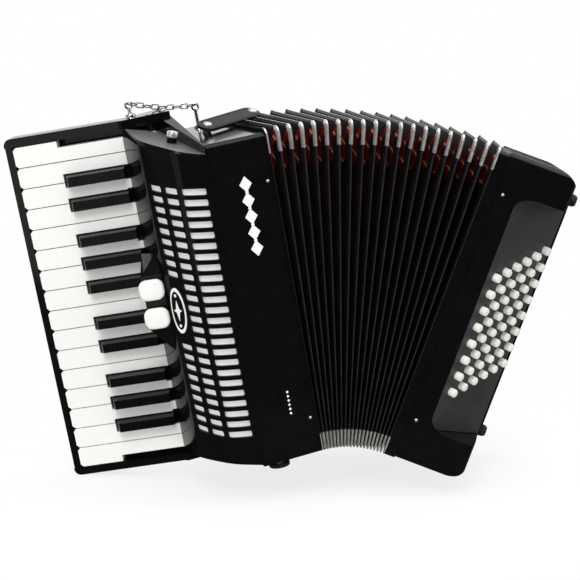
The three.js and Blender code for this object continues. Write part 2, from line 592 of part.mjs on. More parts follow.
// The sunk board's outline in the board's own frame, rounded at its front corners.
const boardOutline = (inset) => roundedOutline(
  [inset, 160], [BOARD_LOW + inset, BOARD_HIGH - inset], BOARD_CORNER, 6);
const BOARD_SEAT = 3;
const cavity = [
  [5, WALL], [25.8, WALL], [BASS_WIDTH - WALL, 71.5], [BASS_WIDTH - WALL, DEPTH - WALL], [5, DEPTH - WALL],
];
const END_WINDOW = { y: [84, 162], z: [54, 268] };
const bassShell = plate(frontView, -1, DEPTH + 1)
  .intersect(prism(topView, -5, 330))
  .intersect(sidePlate(roundedOutline([0, DEPTH], BASS_Z, EDGE_RADIUS + 2), [0, 100]))
  .subtract(prism(cavity, BASS_Z[0] + 5, BASS_Z[1] - 5))
  .subtract(onBoard(plate(boardOutline(0), -90, BOARD_SEAT)))
  .subtract(onBoard(box([7, 82], [0, 12], [50, 262])))
  .subtract(box([BASS_WIDTH - 10, BASS_WIDTH + 5], END_WINDOW.y, END_WINDOW.z));
add(bass, 'bass_casing', bassShell, GLOSS_BLACK);
add(bass, 'bass_bellows_frame', ringFrame([GAP, PANEL_X - GAP], FRAME_RING), GLOSS_BLACK);
add(bass, 'bass_reed_block', join([
  box([PANEL_X + 1, PANEL_X + 4], [30, 160], [30, 280]),
  box([PANEL_X - 9, PANEL_X + 4], [70, 100], [36, 274]),
  box([PANEL_X - 9, PANEL_X + 4], [116, 146], [36, 274]),
]), WOOD);

// ---------------------------------------------------------------- bass buttons
const buttonHoles = [];
for (let row = 0; row < BUTTON_ROWS; row += 1) {
  const along = FIRST_BUTTON.along + row * ROW_PITCH;
  const low = FIRST_BUTTON.z + row * ROW_SLANT;
  const heights = Array.from({ length: BUTTONS_PER_ROW }, (_, i) => low + i * BUTTON_PITCH);
  const carrier = box([along - 3, along + 3], [8.6, 11.5], [low - 4, heights.at(-1) + 4]);
  const buttons = heights.map((z) => {
    buttonHoles.push(bar([along, -2, z], [along, 6, z], BUTTON_RADIUS + 0.5, BUTTON_SIDES));
    return turned([[0, -14], [BUTTON_RADIUS, -14], [BUTTON_RADIUS, -1.2], [3, 0], [0, 0.3]],
      [along, -5, z], [0, -1, 0], BUTTON_SIDES);
  });
  add(bass, `bass_button_row_${row + 1}`, onBoard(join([carrier, ...buttons])), IVORY);
}
const boardPlate = plate(boardOutline(GAP), GAP, BOARD_SEAT - GAP)
  .intersect(box([0, boardLength - 0.6], [-1, 5], [0, 312]));
add(bass, 'button_board', onBoard(boardPlate.subtract(join(buttonHoles))), SATIN_GREY);

// ---------------------------------------------------------------- end plate, air button, hand strap
const PLATE_X = [BASS_WIDTH + GAP, BASS_WIDTH + 2.3];
const AIR_BUTTON = { y: 158.5, z: 262, radius: 5, stem: 2.8 };
const HAND_STRAP_Y = [126, 160];
add(bass, 'bass_end_plate', box(PLATE_X, [76, 170], [46, 276])
  .subtract(bar([70, AIR_BUTTON.y, AIR_BUTTON.z], [99, AIR_BUTTON.y, AIR_BUTTON.z], AIR_BUTTON.stem + GAP)),
GLOSS_BLACK);
add(bass, 'air_button', join([
  bar([PLATE_X[1] + 4.3, AIR_BUTTON.y, AIR_BUTTON.z], [PLATE_X[1] + 6.5, AIR_BUTTON.y, AIR_BUTTON.z],
    AIR_BUTTON.radius),
  bar([PLATE_X[0] - 12, AIR_BUTTON.y, AIR_BUTTON.z], [PLATE_X[1] + 5, AIR_BUTTON.y, AIR_BUTTON.z],
    AIR_BUTTON.stem),
]), GLOSS_BLACK);
const strapX = PLATE_X[1] + GAP;
add(bass, 'hand_strap', plate([
  [strapX, 56], [strapX, 70], [strapX + 2.5, 90], [strapX + 2.5, 232], [strapX, 246], [strapX, 254],
  [strapX + 2.5, 254], [strapX + 5, 234], [strapX + 5, 88], [strapX + 2.5, 56],
], ...HAND_STRAP_Y), LEATHER);
add(bass, 'strap_wheel',
  bar([strapX, 143, 265], [strapX + 5, 143, 265], 8, 20), SATIN_GREY);

const FOOT_PROFILE = [[0, 0], [6.5, 0], [6, 6], [4.5, 8.5], [0, 9]];
add(bass, 'foot_upper', turned(FOOT_PROFILE, [BASS_WIDTH + GAP, 88, 286], [1, 0, 0], 12), RUBBER);
add(bass, 'foot_lower', turned(FOOT_PROFILE, [BASS_WIDTH + GAP, 88, 38.5], [1, 0, 0], 12), RUBBER);

// ---------------------------------------------------------------- origin under the middle
group.updateMatrixWorld(true);
const bounds = new THREE.Box3().setFromObject(group, true);
const middle = bounds.getCenter(new THREE.Vector3());
group.position.set(-middle.x, -middle.y, -bounds.min.z);
group.updateMatrixWorld(true);

export default group;
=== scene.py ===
"""The looks of the piano accordion: pleated bellows, smooth covers, chain, straps, materials and light."""

import json
import math

import bmesh
import bpy
from mathutils import Matrix, Vector
from mathutils.geometry import delaunay_2d_cdt


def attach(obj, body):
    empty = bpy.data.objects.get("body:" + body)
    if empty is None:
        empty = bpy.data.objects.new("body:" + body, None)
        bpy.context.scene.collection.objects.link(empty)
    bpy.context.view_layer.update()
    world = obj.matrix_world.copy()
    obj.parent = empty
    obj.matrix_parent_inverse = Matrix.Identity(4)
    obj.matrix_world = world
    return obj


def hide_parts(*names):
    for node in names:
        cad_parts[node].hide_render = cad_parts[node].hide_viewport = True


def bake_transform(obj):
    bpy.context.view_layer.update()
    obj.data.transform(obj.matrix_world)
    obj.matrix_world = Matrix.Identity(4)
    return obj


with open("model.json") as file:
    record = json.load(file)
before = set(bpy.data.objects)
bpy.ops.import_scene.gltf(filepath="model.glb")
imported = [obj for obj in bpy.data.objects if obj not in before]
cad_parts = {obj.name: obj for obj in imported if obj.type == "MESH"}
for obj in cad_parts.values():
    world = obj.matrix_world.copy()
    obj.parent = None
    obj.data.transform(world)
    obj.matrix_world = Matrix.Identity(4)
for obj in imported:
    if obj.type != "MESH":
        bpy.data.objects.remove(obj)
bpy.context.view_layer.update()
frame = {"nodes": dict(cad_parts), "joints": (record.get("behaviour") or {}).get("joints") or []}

MM = 0.001
NODES = frame["nodes"]
JOINTS = {joint["name"]: joint for joint in frame["joints"]}

# -------- design sizes, in mm
HEIGHT = 310
DEPTH = 176
BELLOWS_START = 58
FOLD_COUNT = 19
FOLD_PITCH = 3.3
FOLD_DEPTH = 22
BELLOWS_OPEN = math.radians(39.4)
KEYBOARD_YAW = math.radians(23.9)
KEYBOARD_ORIGIN = (-148.1, 153)
PANEL_X = 11.2
BASS_WIDTH = 83.6
BOARD_START = 31
BOARD_END_Y = 66


# -------- frames
def casing_frame(node, x, y, z, offset=(0, 0, 0)):
    """A frame on a casing's lowest corner, along the casing's own axes, that takes millimetres."""
    corners = [Vector(vertex.co) for vertex in NODES[node].data.vertices]
    low = [min(corner.dot(axis) for corner in corners) for axis in (x, y, z)]
    place = Matrix((x, y, z)).transposed().to_4x4()
    for axis, start, shift in zip((x, y, z), low, offset):
        place.translation += axis * (start - shift * MM)
    return place @ Matrix.Scale(MM, 4)


treble_z = -Vector(JOINTS["white_key_01_press"]["axis"])
treble_y = Vector((0, 1, 0))
treble_x = treble_y.cross(treble_z)
TREBLE = casing_frame("treble_casing", treble_x, treble_y, treble_z)

bass_x = -Vector(JOINTS["air_button_press"]["axis"])
bass_z = bass_x.cross(Vector(JOINTS["bass_button_row_1_press"]["axis"])).normalized()
bass_y = bass_z.cross(bass_x)
BASS = casing_frame("bass_casing", bass_x, bass_y, bass_z, offset=(PANEL_X, 0, 1))

KEYBOARD = TREBLE @ Matrix.Translation((*KEYBOARD_ORIGIN, 0)) @ Matrix.Rotation(-KEYBOARD_YAW, 4, "Z")
BOARD_ANGLE = math.atan2(BOARD_END_Y, BASS_WIDTH - BOARD_START)
BOARD_LENGTH = math.hypot(BOARD_END_Y, BASS_WIDTH - BOARD_START)
BOARD = BASS @ Matrix.Translation((BOARD_START, 0, 0)) @ Matrix.Rotation(BOARD_ANGLE, 4, "Z")

hinge = JOINTS["bellows_fan"]
HINGE_AXIS = Vector(hinge["axis"]).normalized()
fold_centre = Vector(hinge["pos_m"]) - treble_x * (FOLD_COUNT * FOLD_PITCH / 2 * MM)
fold_centre += HINGE_AXIS.cross(treble_x) * (FOLD_COUNT * FOLD_PITCH / 2 * MM / math.tan(BELLOWS_OPEN / 2))


def fold_frame(fraction):
    """The treble frame carried a fraction of the way round the open bellows."""
    turn = Matrix.Rotation(BELLOWS_OPEN * fraction, 4, HINGE_AXIS)
    return Matrix.Translation(fold_centre) @ turn @ Matrix.Translation(-fold_centre) @ TREBLE


# -------- mesh helpers
def add_object(name, data):
    obj = bpy.data.objects.new(name, data)
    bpy.context.scene.collection.objects.link(obj)
    return obj


def new_piece(name, bm, place, body, finishes, smooth=True):
    """A Blender piece from mesh code in a frame's own millimetres, painted and bound to a body."""
    mesh = mesh_from(bm, name, place)
    obj = add_object(name, mesh)
    for finish in finishes:
        mesh.materials.append(MATERIALS[finish])
    if smooth:
        mesh.polygons.foreach_set("use_smooth", [True] * len(mesh.polygons))
    if body:
        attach(obj, body)
    return obj


def mesh_from(bm, name, place):
    bm.transform(place)
    bmesh.ops.recalc_face_normals(bm, faces=bm.faces)
    mesh = bpy.data.meshes.new(name)
    bm.to_mesh(mesh)
    bm.free()
    return mesh


def stand_in(name, bm, place, body, finishes, node):
    """A smooth piece that is shown in place of a CAD node."""
    piece = new_piece(name, bm, place, body, finishes)
    smooth_by_angle(piece)
    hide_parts(node)


def bridge(bm, loops, material=0):
    """Faces between each loop of points and the next."""
    for a, b in zip(loops, loops[1:]):
        for i in range(len(a)):
            j = (i + 1) % len(a)
            bm.faces.new([a[i], a[j], b[j], b[i]]).material_index = material


def add_slab(bm, outline, to_surface, low, high):
    """A thin flat shape that stands proud of a surface, from low to high; its underside is open."""
    loops = [[bm.verts.new(to_surface(x, z, proud)) for x, z in outline] for proud in (low, high)]
    bm.faces.new(loops[1])
    bridge(bm, loops)


def add_lathe(bm, profile, at, direction, sides=32, material=0):
    """Turns [radius, height] pairs about a line; both ends are closed where the radius is 0."""
    turn = Vector((0, 0, 1)).rotation_difference(Vector(direction)).to_matrix()
    rings = []
    for radius, height in profile:
        ring = circle_outline((0, 0), radius, sides if radius else 1)
        rings.append([bm.verts.new(Vector(at) + turn @ Vector((x, y, height))) for x, y in ring])
    for low, high in zip(rings, rings[1:]):
        for i in range(sides):
            j = (i + 1) % sides
            corners = [low[i % len(low)], low[j % len(low)], high[j % len(high)], high[i % len(high)]]
            corners = [v for k, v in enumerate(corners) if v not in corners[:k]]
            if len(corners) > 2:
                bm.faces.new(corners).material_index = material


def add_tube(bm, points, radius, sides=12, closed=False, material=0):
    """A round tube along a list of points, without twist."""
    count = len(points)
    points = [Vector(p) for p in points]
    tangents = []
    for i in range(count):
        before = points[i - 1] if closed or i else points[0]
        after = points[(i + 1) % count] if closed or i < count - 1 else points[-1]
        tangents.append((after - before).normalized())
    side = tangents[0].orthogonal().normalized()
    rings = []
    for point, tangent in zip(points, tangents):
        side = (side - tangent * side.dot(tangent)).normalized()
        up = tangent.cross(side)
        ring = circle_outline((0, 0), radius, sides)
        rings.append([bm.verts.new(point + side * x + up * y) for x, y in ring])
    bridge(bm, [*rings, rings[0]] if closed else rings, material)
    if not closed:
        bm.faces.new(rings[0][::-1]).material_index = material
        bm.faces.new(rings[-1]).material_index = material


def arc(centre, radius, quarter, steps, turn=math.pi / 2):
    """Points round part of a circle, from a number of quarter turns on."""
    angles = [math.pi / 2 * quarter + turn * i / steps for i in range(steps + 1)]
    return [(centre[0] + radius * math.cos(a), centre[1] + radius * math.sin(a)) for a in angles]


def rounded_outline(width, height, radius, steps, centre=(0, 0)):
    """Corner arcs of a rounded rectangle, anticlockwise."""
    points = []
    for quarter, (sx, sy) in enumerate(((1, 1), (-1, 1), (-1, -1), (1, -1))):
        corner = (centre[0] + sx * (width / 2 - radius), centre[1] + sy * (height / 2 - radius))
        points += arc(corner, radius, quarter, steps)
    return points


def circle_outline(centre, radius, sides, stretch=1.0):
    angles = [math.tau * i / sides for i in range(sides)]
    return [(centre[0] + radius * math.cos(a), centre[1] + radius * stretch * math.sin(a)) for a in angles]


def inside(point, ring):
    hit = False
    for (ax, ay), (bx, by) in zip(ring, [*ring[1:], ring[0]]):
        if (ay > point[1]) != (by > point[1]) and point[0] < ax + (point[1] - ay) * (bx - ax) / (by - ay):
            hit = not hit
    return hit


def flat_sheet(outline, holes=(), columns=(), rows=()):
    """A flat filled outline with holes, cut along lines of constant x and y so that it can be bent."""
    points, edges = [], []
    for ring in (outline, *holes):
        first = len(points)
        points += [Vector(p) for p in ring]
        edges += [(first + i, first + (i + 1) % len(ring)) for i in range(len(ring))]
    low = [min(p[i] for p in outline) for i in (0, 1)]
    high = [max(p[i] for p in outline) for i in (0, 1)]
    for x in columns:
        edges.append((len(points), len(points) + 1))
        points += [Vector((x, low[1])), Vector((x, high[1]))]
    for y in rows:
        edges.append((len(points), len(points) + 1))
        points += [Vector((low[0], y)), Vector((high[0], y))]
    found, _, faces, *_ = delaunay_2d_cdt(points, edges, [], 0, 1e-4)
    bm = bmesh.new()
    verts = [bm.verts.new((*p, 0)) for p in found]
    for face in faces:
        middle = sum((found[i] for i in face), Vector((0, 0))) / len(face)
        if inside(middle, outline) and not any(inside(middle, hole) for hole in holes):
            bm.faces.new([verts[i] for i in face])
    bmesh.ops.delete(bm, geom=[v for v in bm.verts if not v.link_faces], context="VERTS")
    return bm


def thicken(bm, thickness, outward):
    """Gives an open sheet, whose outer side faces outward, a back and walls inside it."""
    bmesh.ops.recalc_face_normals(bm, faces=bm.faces)
    bm.normal_update()
    largest = max(bm.faces, key=lambda face: face.calc_area())
    if largest.normal.dot(Vector(outward)) < 0:
        bmesh.ops.reverse_faces(bm, faces=bm.faces[:])
    bm.normal_update()
    front = bm.faces[:]
    border = [edge for edge in bm.edges if len(edge.link_faces) == 1]
    twins = {vertex: bm.verts.new(vertex.co - vertex.normal * thickness) for vertex in bm.verts[:]}
    for face in front:
        back = bm.faces.new([twins[v] for v in reversed(face.verts)])
        back.material_index = face.material_index
    for edge in border:
        a, b = edge.verts
        bm.faces.new([a, b, twins[b], twins[a]])


def merge_flats(obj):
    """Joins the triangles of each flat side, which leaves room for wide soft edges."""
    modifier = obj.modifiers.new("flats", "DECIMATE")
    modifier.decimate_type = "DISSOLVE"
    modifier.angle_limit = math.radians(0.6)


def bevel(obj, width_mm, segments=3):
    modifier = obj.modifiers.new("edges", "BEVEL")
    modifier.width = width_mm * MM
    modifier.segments = segments
    modifier.limit_method = "ANGLE"
    modifier.angle_limit = math.radians(35)


def smooth_by_angle(obj, angle=32):
    mesh = obj.data
    mesh.polygons.foreach_set("use_smooth", [True] * len(mesh.polygons))
    bm = bmesh.new()
    bm.from_mesh(mesh)
    for edge in bm.edges:
        if len(edge.link_faces) == 2 and edge.calc_face_angle(0) > math.radians(angle):
            edge.smooth = False
    bm.to_mesh(mesh)
    bm.free()


# -------- materials
def material(name, color, roughness=0.5, metallic=0.0, coat=0.0, sheen=0.0, subsurface=0.0):
    made = bpy.data.materials.new(name)
    made.use_nodes = True
    tree = made.node_tree
    shader = tree.nodes["Principled BSDF"]
    shader.inputs["Base Color"].default_value = (*color, 1)
    shader.inputs["Roughness"].default_value = roughness
    shader.inputs["Metallic"].default_value = metallic
    shader.inputs["Coat Weight"].default_value = coat
    shader.inputs["Coat Roughness"].default_value = 0.05
    shader.inputs["Sheen Weight"].default_value = sheen
    shader.inputs["Subsurface Weight"].default_value = subsurface
    shader.inputs["Subsurface Radius"].default_value = (0.004, 0.003, 0.002)
    return made, tree, shader


def add_node(tree, kind, inputs=(), **settings):
    """A new node. An input that is another node's socket is linked, and any other is set."""
    node = tree.nodes.new("ShaderNode" + kind)
    for key, value in settings.items():
        setattr(node, key, value)
    for socket, value in dict(inputs).items():
        if isinstance(value, bpy.types.NodeSocket):
            tree.links.new(value, node.inputs[socket])
        else:
            node.inputs[socket].default_value = value
    return node


def object_vector(tree, **mapping):
    """The object's own coordinates, scaled or turned."""
    coords = add_node(tree, "TexCoord").outputs["Object"]
    return add_node(tree, "Mapping", {"Vector": coords, **mapping}).outputs["Vector"]


def object_noise(tree, scale, detail=4.0, stretch=(1, 1, 1)):
    vector = object_vector(tree, Scale=stretch)
    return add_node(tree, "TexNoise", {"Scale": scale, "Detail": detail, "Vector": vector}).outputs["Fac"]


def ramp(tree, source, stops):
    node = add_node(tree, "ValToRGB", {"Fac": source})
    elements = node.color_ramp.elements
    while len(elements) < len(stops):
        elements.new(0.5)
    for element, (position, color) in zip(elements, stops):
        element.position = position
        element.color = (*color, 1)
    return node.outputs["Color"]


def vary_color(tree, shader, noise, low, high):
    tree.links.new(ramp(tree, noise, [(0.35, low), (0.65, high)]), shader.inputs["Base Color"])


def spread(tree, value, start, stop, low, high, interpolation="SMOOTHSTEP"):
    """Carries a value from the range start to stop into the range low to high."""
    limits = {"From Min": start, "From Max": stop, "To Min": low, "To Max": high}
    node = add_node(tree, "MapRange", {"Value": value, **limits}, interpolation_type=interpolation)
    return node.outputs["Result"]


def vary_roughness(tree, shader, noise, low, high):
    tree.links.new(spread(tree, noise, 0.3, 0.7, low, high, "LINEAR"), shader.inputs["Roughness"])


def add_bump(tree, shader, height, strength, distance):
    bump = add_node(tree, "Bump", {"Strength": strength, "Distance": distance, "Height": height})
    tree.links.new(bump.outputs["Normal"], shader.inputs["Normal"])


def surface(name, color, roughness, tints, polish=None, grain=None, sockets=(), **values):
    """A mottled material. Each of tints, polish and grain starts with the scale and detail of its noise; then
    come two colours, two roughnesses, or the strength and depth of the grain."""
    made, tree, shader = material(name, color, roughness, **values)
    for socket, value in dict(sockets).items():
        shader.inputs[socket].default_value = value
    vary_color(tree, shader, object_noise(tree, *tints[0]), *tints[1:])
    if polish:
        vary_roughness(tree, shader, object_noise(tree, *polish[0]), *polish[1:])
    if grain:
        add_bump(tree, shader, object_noise(tree, *grain[0]), *grain[1:])
    return made


def celluloid(name, roughness, polish):
    """Deep black casing plastic with faint handling marks."""
    return surface(name, (0.0035, 0.0035, 0.004), roughness, sockets={"IOR": 1.32},
                   tints=((60, 5), (0.0030, 0.0030, 0.0034), (0.0040, 0.0040, 0.0044)),
                   polish=((260, 3), *polish))


def gloss_black():
    return celluloid("gloss_black", 0.09, (0.08, 0.11))


def grille_black():
    """The celluloid of the grille, a little duller than the casings."""
    made = celluloid("grille_black", 0.12, (0.11, 0.15))
    tree = made.node_tree
    dull = add_node(tree, "BsdfDiffuse", {"Color": (0.0035, 0.0035, 0.004, 1)})
    polished = tree.nodes["Principled BSDF"].outputs["BSDF"]
    mix = add_node(tree, "MixShader", {"Fac": 0.5, 1: polished, 2: dull.outputs["BSDF"]})
    tree.links.new(mix.outputs["Shader"], tree.nodes["Material Output"].inputs["Surface"])
    return made


def facet_painted_reflection():
    """The same black plastic with a softer polish, on the sloping end of the grille; its mid grey base colour
    is a painted reflection of the bright backdrop.
    """
    return surface("facet_painted_reflection", (0.012, 0.012, 0.012), 0.36,
                   # grey tints: painted reflection on black plastic
                   tints=((60, 5), (0.105, 0.105, 0.105), (0.120, 0.120, 0.120)),
                   polish=((260, 3), 0.34, 0.38))


def key_black():
    return surface("key_black", (0.003, 0.003, 0.0035), 0.26, sockets={"IOR": 1.24},
                   tints=((160, 4), (0.002, 0.002, 0.0025), (0.004, 0.004, 0.0045)),
                   polish=((60, 3), 0.22, 0.32))


def white_plastic():
    return surface("white_plastic", (0.83, 0.82, 0.78), 0.24, coat=0.25, subsurface=0.08,
                   tints=((30, 3), (0.88, 0.875, 0.845), (0.90, 0.895, 0.87)),
                   polish=((40, 3), 0.22, 0.28))


def ivory():
    return surface("ivory", (0.74, 0.71, 0.6), 0.3, coat=0.15, subsurface=0.1,
                   tints=((60, 3), (0.80, 0.79, 0.73), (0.86, 0.855, 0.80)),
                   polish=((200, 3), 0.24, 0.38))


def satin_grey():
    """Moulded plastic with a fine even grain."""
    return surface("satin_grey", (0.034, 0.034, 0.036), 0.45,
                   tints=((30, 3), (0.030, 0.030, 0.032), (0.038, 0.038, 0.040)),
                   grain=((1800, 3), 0.18, 0.0004))


def chrome():
    return surface("chrome", (0.72, 0.73, 0.75), 0.16, metallic=1.0,
                   tints=((120, 3), (0.62, 0.63, 0.66), (0.8, 0.81, 0.82)),
                   polish=((300, 4), 0.1, 0.24))


def bright_metal():
    """Nickel of the bellows corners and fittings, brushed enough to stay light from every side."""
    return surface("bright_metal", (0.7, 0.69, 0.66), 0.3, metallic=0.75,
                   tints=((150, 3), (0.60, 0.59, 0.56), (0.80, 0.79, 0.77)),
                   polish=((300, 3), 0.26, 0.42))


def silver_cloth():
    """A metallic weave: two crossed sets of fine threads, with a faint painted glow that lightens the cloth
    behind the slots.
    """
    made, tree, shader = material("silver_cloth", (0.85, 0.85, 0.85), 0.5, sheen=0.3)
    # painted glow: a weak white emission keeps the cloth bright behind the slots
    shader.inputs["Emission Color"].default_value = (1, 1, 1, 1)
    shader.inputs["Emission Strength"].default_value = 0.2
    threads = []
    for angle in (0.4, 0.4 + math.pi / 2):
        vector = object_vector(tree, Rotation=(0.2, angle, 0))
        wave = add_node(tree, "TexWave", {"Scale": 420, "Distortion": 1.2, "Vector": vector})
        threads.append(wave.outputs["Fac"])
    weave = add_node(tree, "Math", enumerate(threads), operation="MULTIPLY").outputs["Value"]
    color = ramp(tree, weave, [(0.02, (0.55, 0.55, 0.56)), (0.2, (1.0, 1.0, 1.0))])
    tree.links.new(color, shader.inputs["Base Color"])
    add_bump(tree, shader, weave, 0.4, 0.0004)
    return made


def leather():
    made, tree, shader = material("leather", (0.012, 0.011, 0.011), 0.5, sheen=0.1)
    coords = add_node(tree, "TexCoord").outputs["Object"]
    cells = add_node(tree, "TexVoronoi", {"Scale": 900, "Vector": coords})
    add_bump(tree, shader, cells.outputs["Distance"], 0.35, 0.0006)
    vary_color(tree, shader, object_noise(tree, 140, 4), (0.008, 0.008, 0.008), (0.022, 0.02, 0.019))
    vary_roughness(tree, shader, object_noise(tree, 70, 3), 0.4, 0.62)
    return made


def strap_leather():
    """Polished strap leather that shows a wide soft shine."""
    return surface("strap_leather", (0.012, 0.011, 0.011), 0.34,
                   tints=((140, 4), (0.007, 0.007, 0.007), (0.015, 0.014, 0.014)),
                   polish=((70, 3), 0.28, 0.42), grain=((700, 3), 0.25, 0.0004))


def rubber():
    return surface("rubber", (0.012, 0.012, 0.012), 0.75,
                   tints=((200, 4), (0.008, 0.008, 0.008), (0.02, 0.02, 0.02)),
                   grain=((900, 4), 0.3, 0.0004))


WOOD_STRETCH = (1, 8, 1)


def wood():
    return surface("wood", (0.42, 0.28, 0.15), 0.6,
                   tints=((60, 6, WOOD_STRETCH), (0.34, 0.2, 0.1), (0.52, 0.36, 0.2)),
                   grain=((200, 5, WOOD_STRETCH), 0.3, 0.0006))


def stained_wood():
    """The same wood stained black, where it shows behind the keyboard and the bass end plate."""
    return surface("stained_wood", (0.006, 0.005, 0.005), 0.4,
                   tints=((60, 6, WOOD_STRETCH), (0.004, 0.004, 0.004), (0.009, 0.008, 0.007)),
                   grain=((200, 5, WOOD_STRETCH), 0.15, 0.0004))


def bellows_card():
    """Black cloth-grained paper over the card."""
    return surface("bellows_card", (0.004, 0.0035, 0.0035), 0.7, sockets={"Specular IOR Level": 0.12},
                   tints=((70, 5), (0.0025, 0.002, 0.002), (0.006, 0.0045, 0.0045)),
                   grain=((1200, 4), 0.3, 0.0004))


def bellows_tape():
    """The glossier tape bound over each fold's edge."""
    return surface("bellows_tape", (0.012, 0.012, 0.013), 0.42, sockets={"Specular IOR Level": 0.3},
                   tints=((90, 4), (0.010, 0.010, 0.011), (0.018, 0.018, 0.020)),
                   grain=((900, 4), 0.2, 0.0003))


def bellows_valley_painted_shade():
    """The red cloth deep between the folds, drawn in a much darker red as painted shade."""
    return surface("bellows_valley_painted_shade", (0.02, 0.002, 0.002), 0.7, sockets={"Specular IOR Level": 0.1},
                   tints=((50, 4), (0.010, 0.0015, 0.0015), (0.028, 0.003, 0.003)),
                   grain=((1500, 3), 0.4, 0.0004))


def bellows_red():
    """Dark red cloth in the valleys, with thin diagonal gold lines."""
    made, tree, shader = material("bellows_red", (0.16, 0.004, 0.006), 0.65)
    shader.inputs["Specular IOR Level"].default_value = 0.15
    wave = add_node(tree, "TexWave", {"Scale": 24, "Vector": object_vector(tree, Rotation=(0.5, 0.6, 0.7))})
    color = ramp(tree, wave.outputs["Fac"], [
        (0.0, (0.10, 0.002, 0.004)), (0.95, (0.17, 0.004, 0.006)), (0.99, (0.5, 0.3, 0.10))])
    tree.links.new(color, shader.inputs["Base Color"])
    add_bump(tree, shader, object_noise(tree, 1500, 3), 0.4, 0.0004)
    return made


MATERIALS = {
    maker.__name__: maker() for maker in (
        gloss_black, grille_black, facet_painted_reflection, key_black, bright_metal, white_plastic, ivory,
        satin_grey, chrome, silver_cloth, leather, strap_leather, rubber, wood, stained_wood,
        bellows_card, bellows_tape, bellows_valley_painted_shade, bellows_red)}


# -------- CAD nodes that stay, with soft edges
FINISHES = {
    "treble_casing": ("gloss_black", 1.6),
    "treble_bellows_frame": ("gloss_black", 0.8),
    "bass_bellows_frame": ("gloss_black", 0.8),
    "bass_casing": ("gloss_black", 3.0),
    "bass_end_plate": ("gloss_black", 1.0),
    "keyboard_frame": ("gloss_black", 1.6),
    "register_housing": ("gloss_black", 1.8),
    "pallet_board": ("stained_wood", 0.3),
    "treble_reed_block": ("wood", 0.3),
    "bass_reed_block": ("stained_wood", 0.3),
    "key_axle": ("key_black", 0),
    "air_button": ("gloss_black", 0.6),
    "strap_wheel": ("satin_grey", 0.6),
    "foot_upper": ("rubber", 0.5),
    "foot_lower": ("rubber", 0.5),
}
for node in NODES:
    if node.startswith("white_key"):
        FINISHES[node] = ("white_plastic", 0.9)
    if node.startswith("black_key"):
        FINISHES[node] = ("key_black", 1.2)
for node, (finish, edge) in FINISHES.items():
    obj = NODES[node]
    obj.data.materials.clear()
    obj.data.materials.append(MATERIALS[finish])
    if edge:
        merge_flats(obj)
        bevel(obj, edge)
    smooth_by_angle(obj)

# -------- bellows
RIDGE_LOW, RIDGE_HIGH = 0, HEIGHT + 3.5
RIDGE_FRONT, RIDGE_BACK = -1, DEPTH + 1
TAPE_DEPTH = 2.4
CLOTH_DEPTH = 13
CORNER_RADIUS = 7
CAP_REACH = {"front": 23, "foot": 19, "top": 9}
RED_DEPTH = 27                    # the cloth is drawn red only this far below the top ridge (lower down, black card and dark red stand in as painted shade), and only this near the front and the back
RED_FRONT, RED_BACK = 12, 36      # and only this near the front and the back
CARD, TAPE, CLOTH, CAP_AND_CREST_HIGHLIGHT, VALLEY_SHADE = range(5)
BELLOWS_FINISHES = ("bellows_card", "bellows_tape", "bellows_red", "bright_metal", "bellows_valley_painted_shade")
VALLEY_LAP = 0.72                 # each fold reaches under the next, so that no gap opens between them
SIDE_STOPS = (0.07, 0.2, 0.32, 0.44, 0.56, 0.68, 0.8, 0.93)


def ridge_loop(inset):
    """Points (y, z) round the bellows at a depth below the ridge."""
    radius = max(CORNER_RADIUS - inset * 0.15, 2)
    front, back = RIDGE_FRONT + inset, RIDGE_BACK - inset
    low, high = RIDGE_LOW + inset, RIDGE_HIGH - inset
    corners = [
        ((back - radius, high - radius), 0), ((front + radius, high - radius), 1),
        ((front + radius, low + radius), 2), ((back - radius, low + radius), 3)]
    points = []
    arcs = [arc(corner, radius, quarter, 4) for corner, quarter in corners]
    for k, points_round in enumerate(arcs):
        points += points_round
        start, stop = points_round[-1], arcs[(k + 1) % 4][0]
        for f in SIDE_STOPS:
            points.append((start[0] + (stop[0] - start[0]) * f, start[1] + (stop[1] - start[1]) * f))
    return points


def fold_profile(first, last):
    """(fraction of a fold, sideways mm, depth mm) from one valley over the ridge to the next."""
    half = [
        (VALLEY_LAP, 0.0, FOLD_DEPTH + 1.5), (0.5, 0.0, FOLD_DEPTH), (0.33, 0.0, CLOTH_DEPTH + 1.2),
        (0.3, 0.1, CLOTH_DEPTH), (0.08, 0.2, TAPE_DEPTH + 0.2), (0.05, 0.35, TAPE_DEPTH),
        (0.015, 0.4, 1.0), (0.0, 0.45, 0.15)]
    before = [] if first else [(-f, -dx, depth) for f, dx, depth in half]
    after = [] if last else half[::-1]
    return before + [(0, 0, 0)] + after


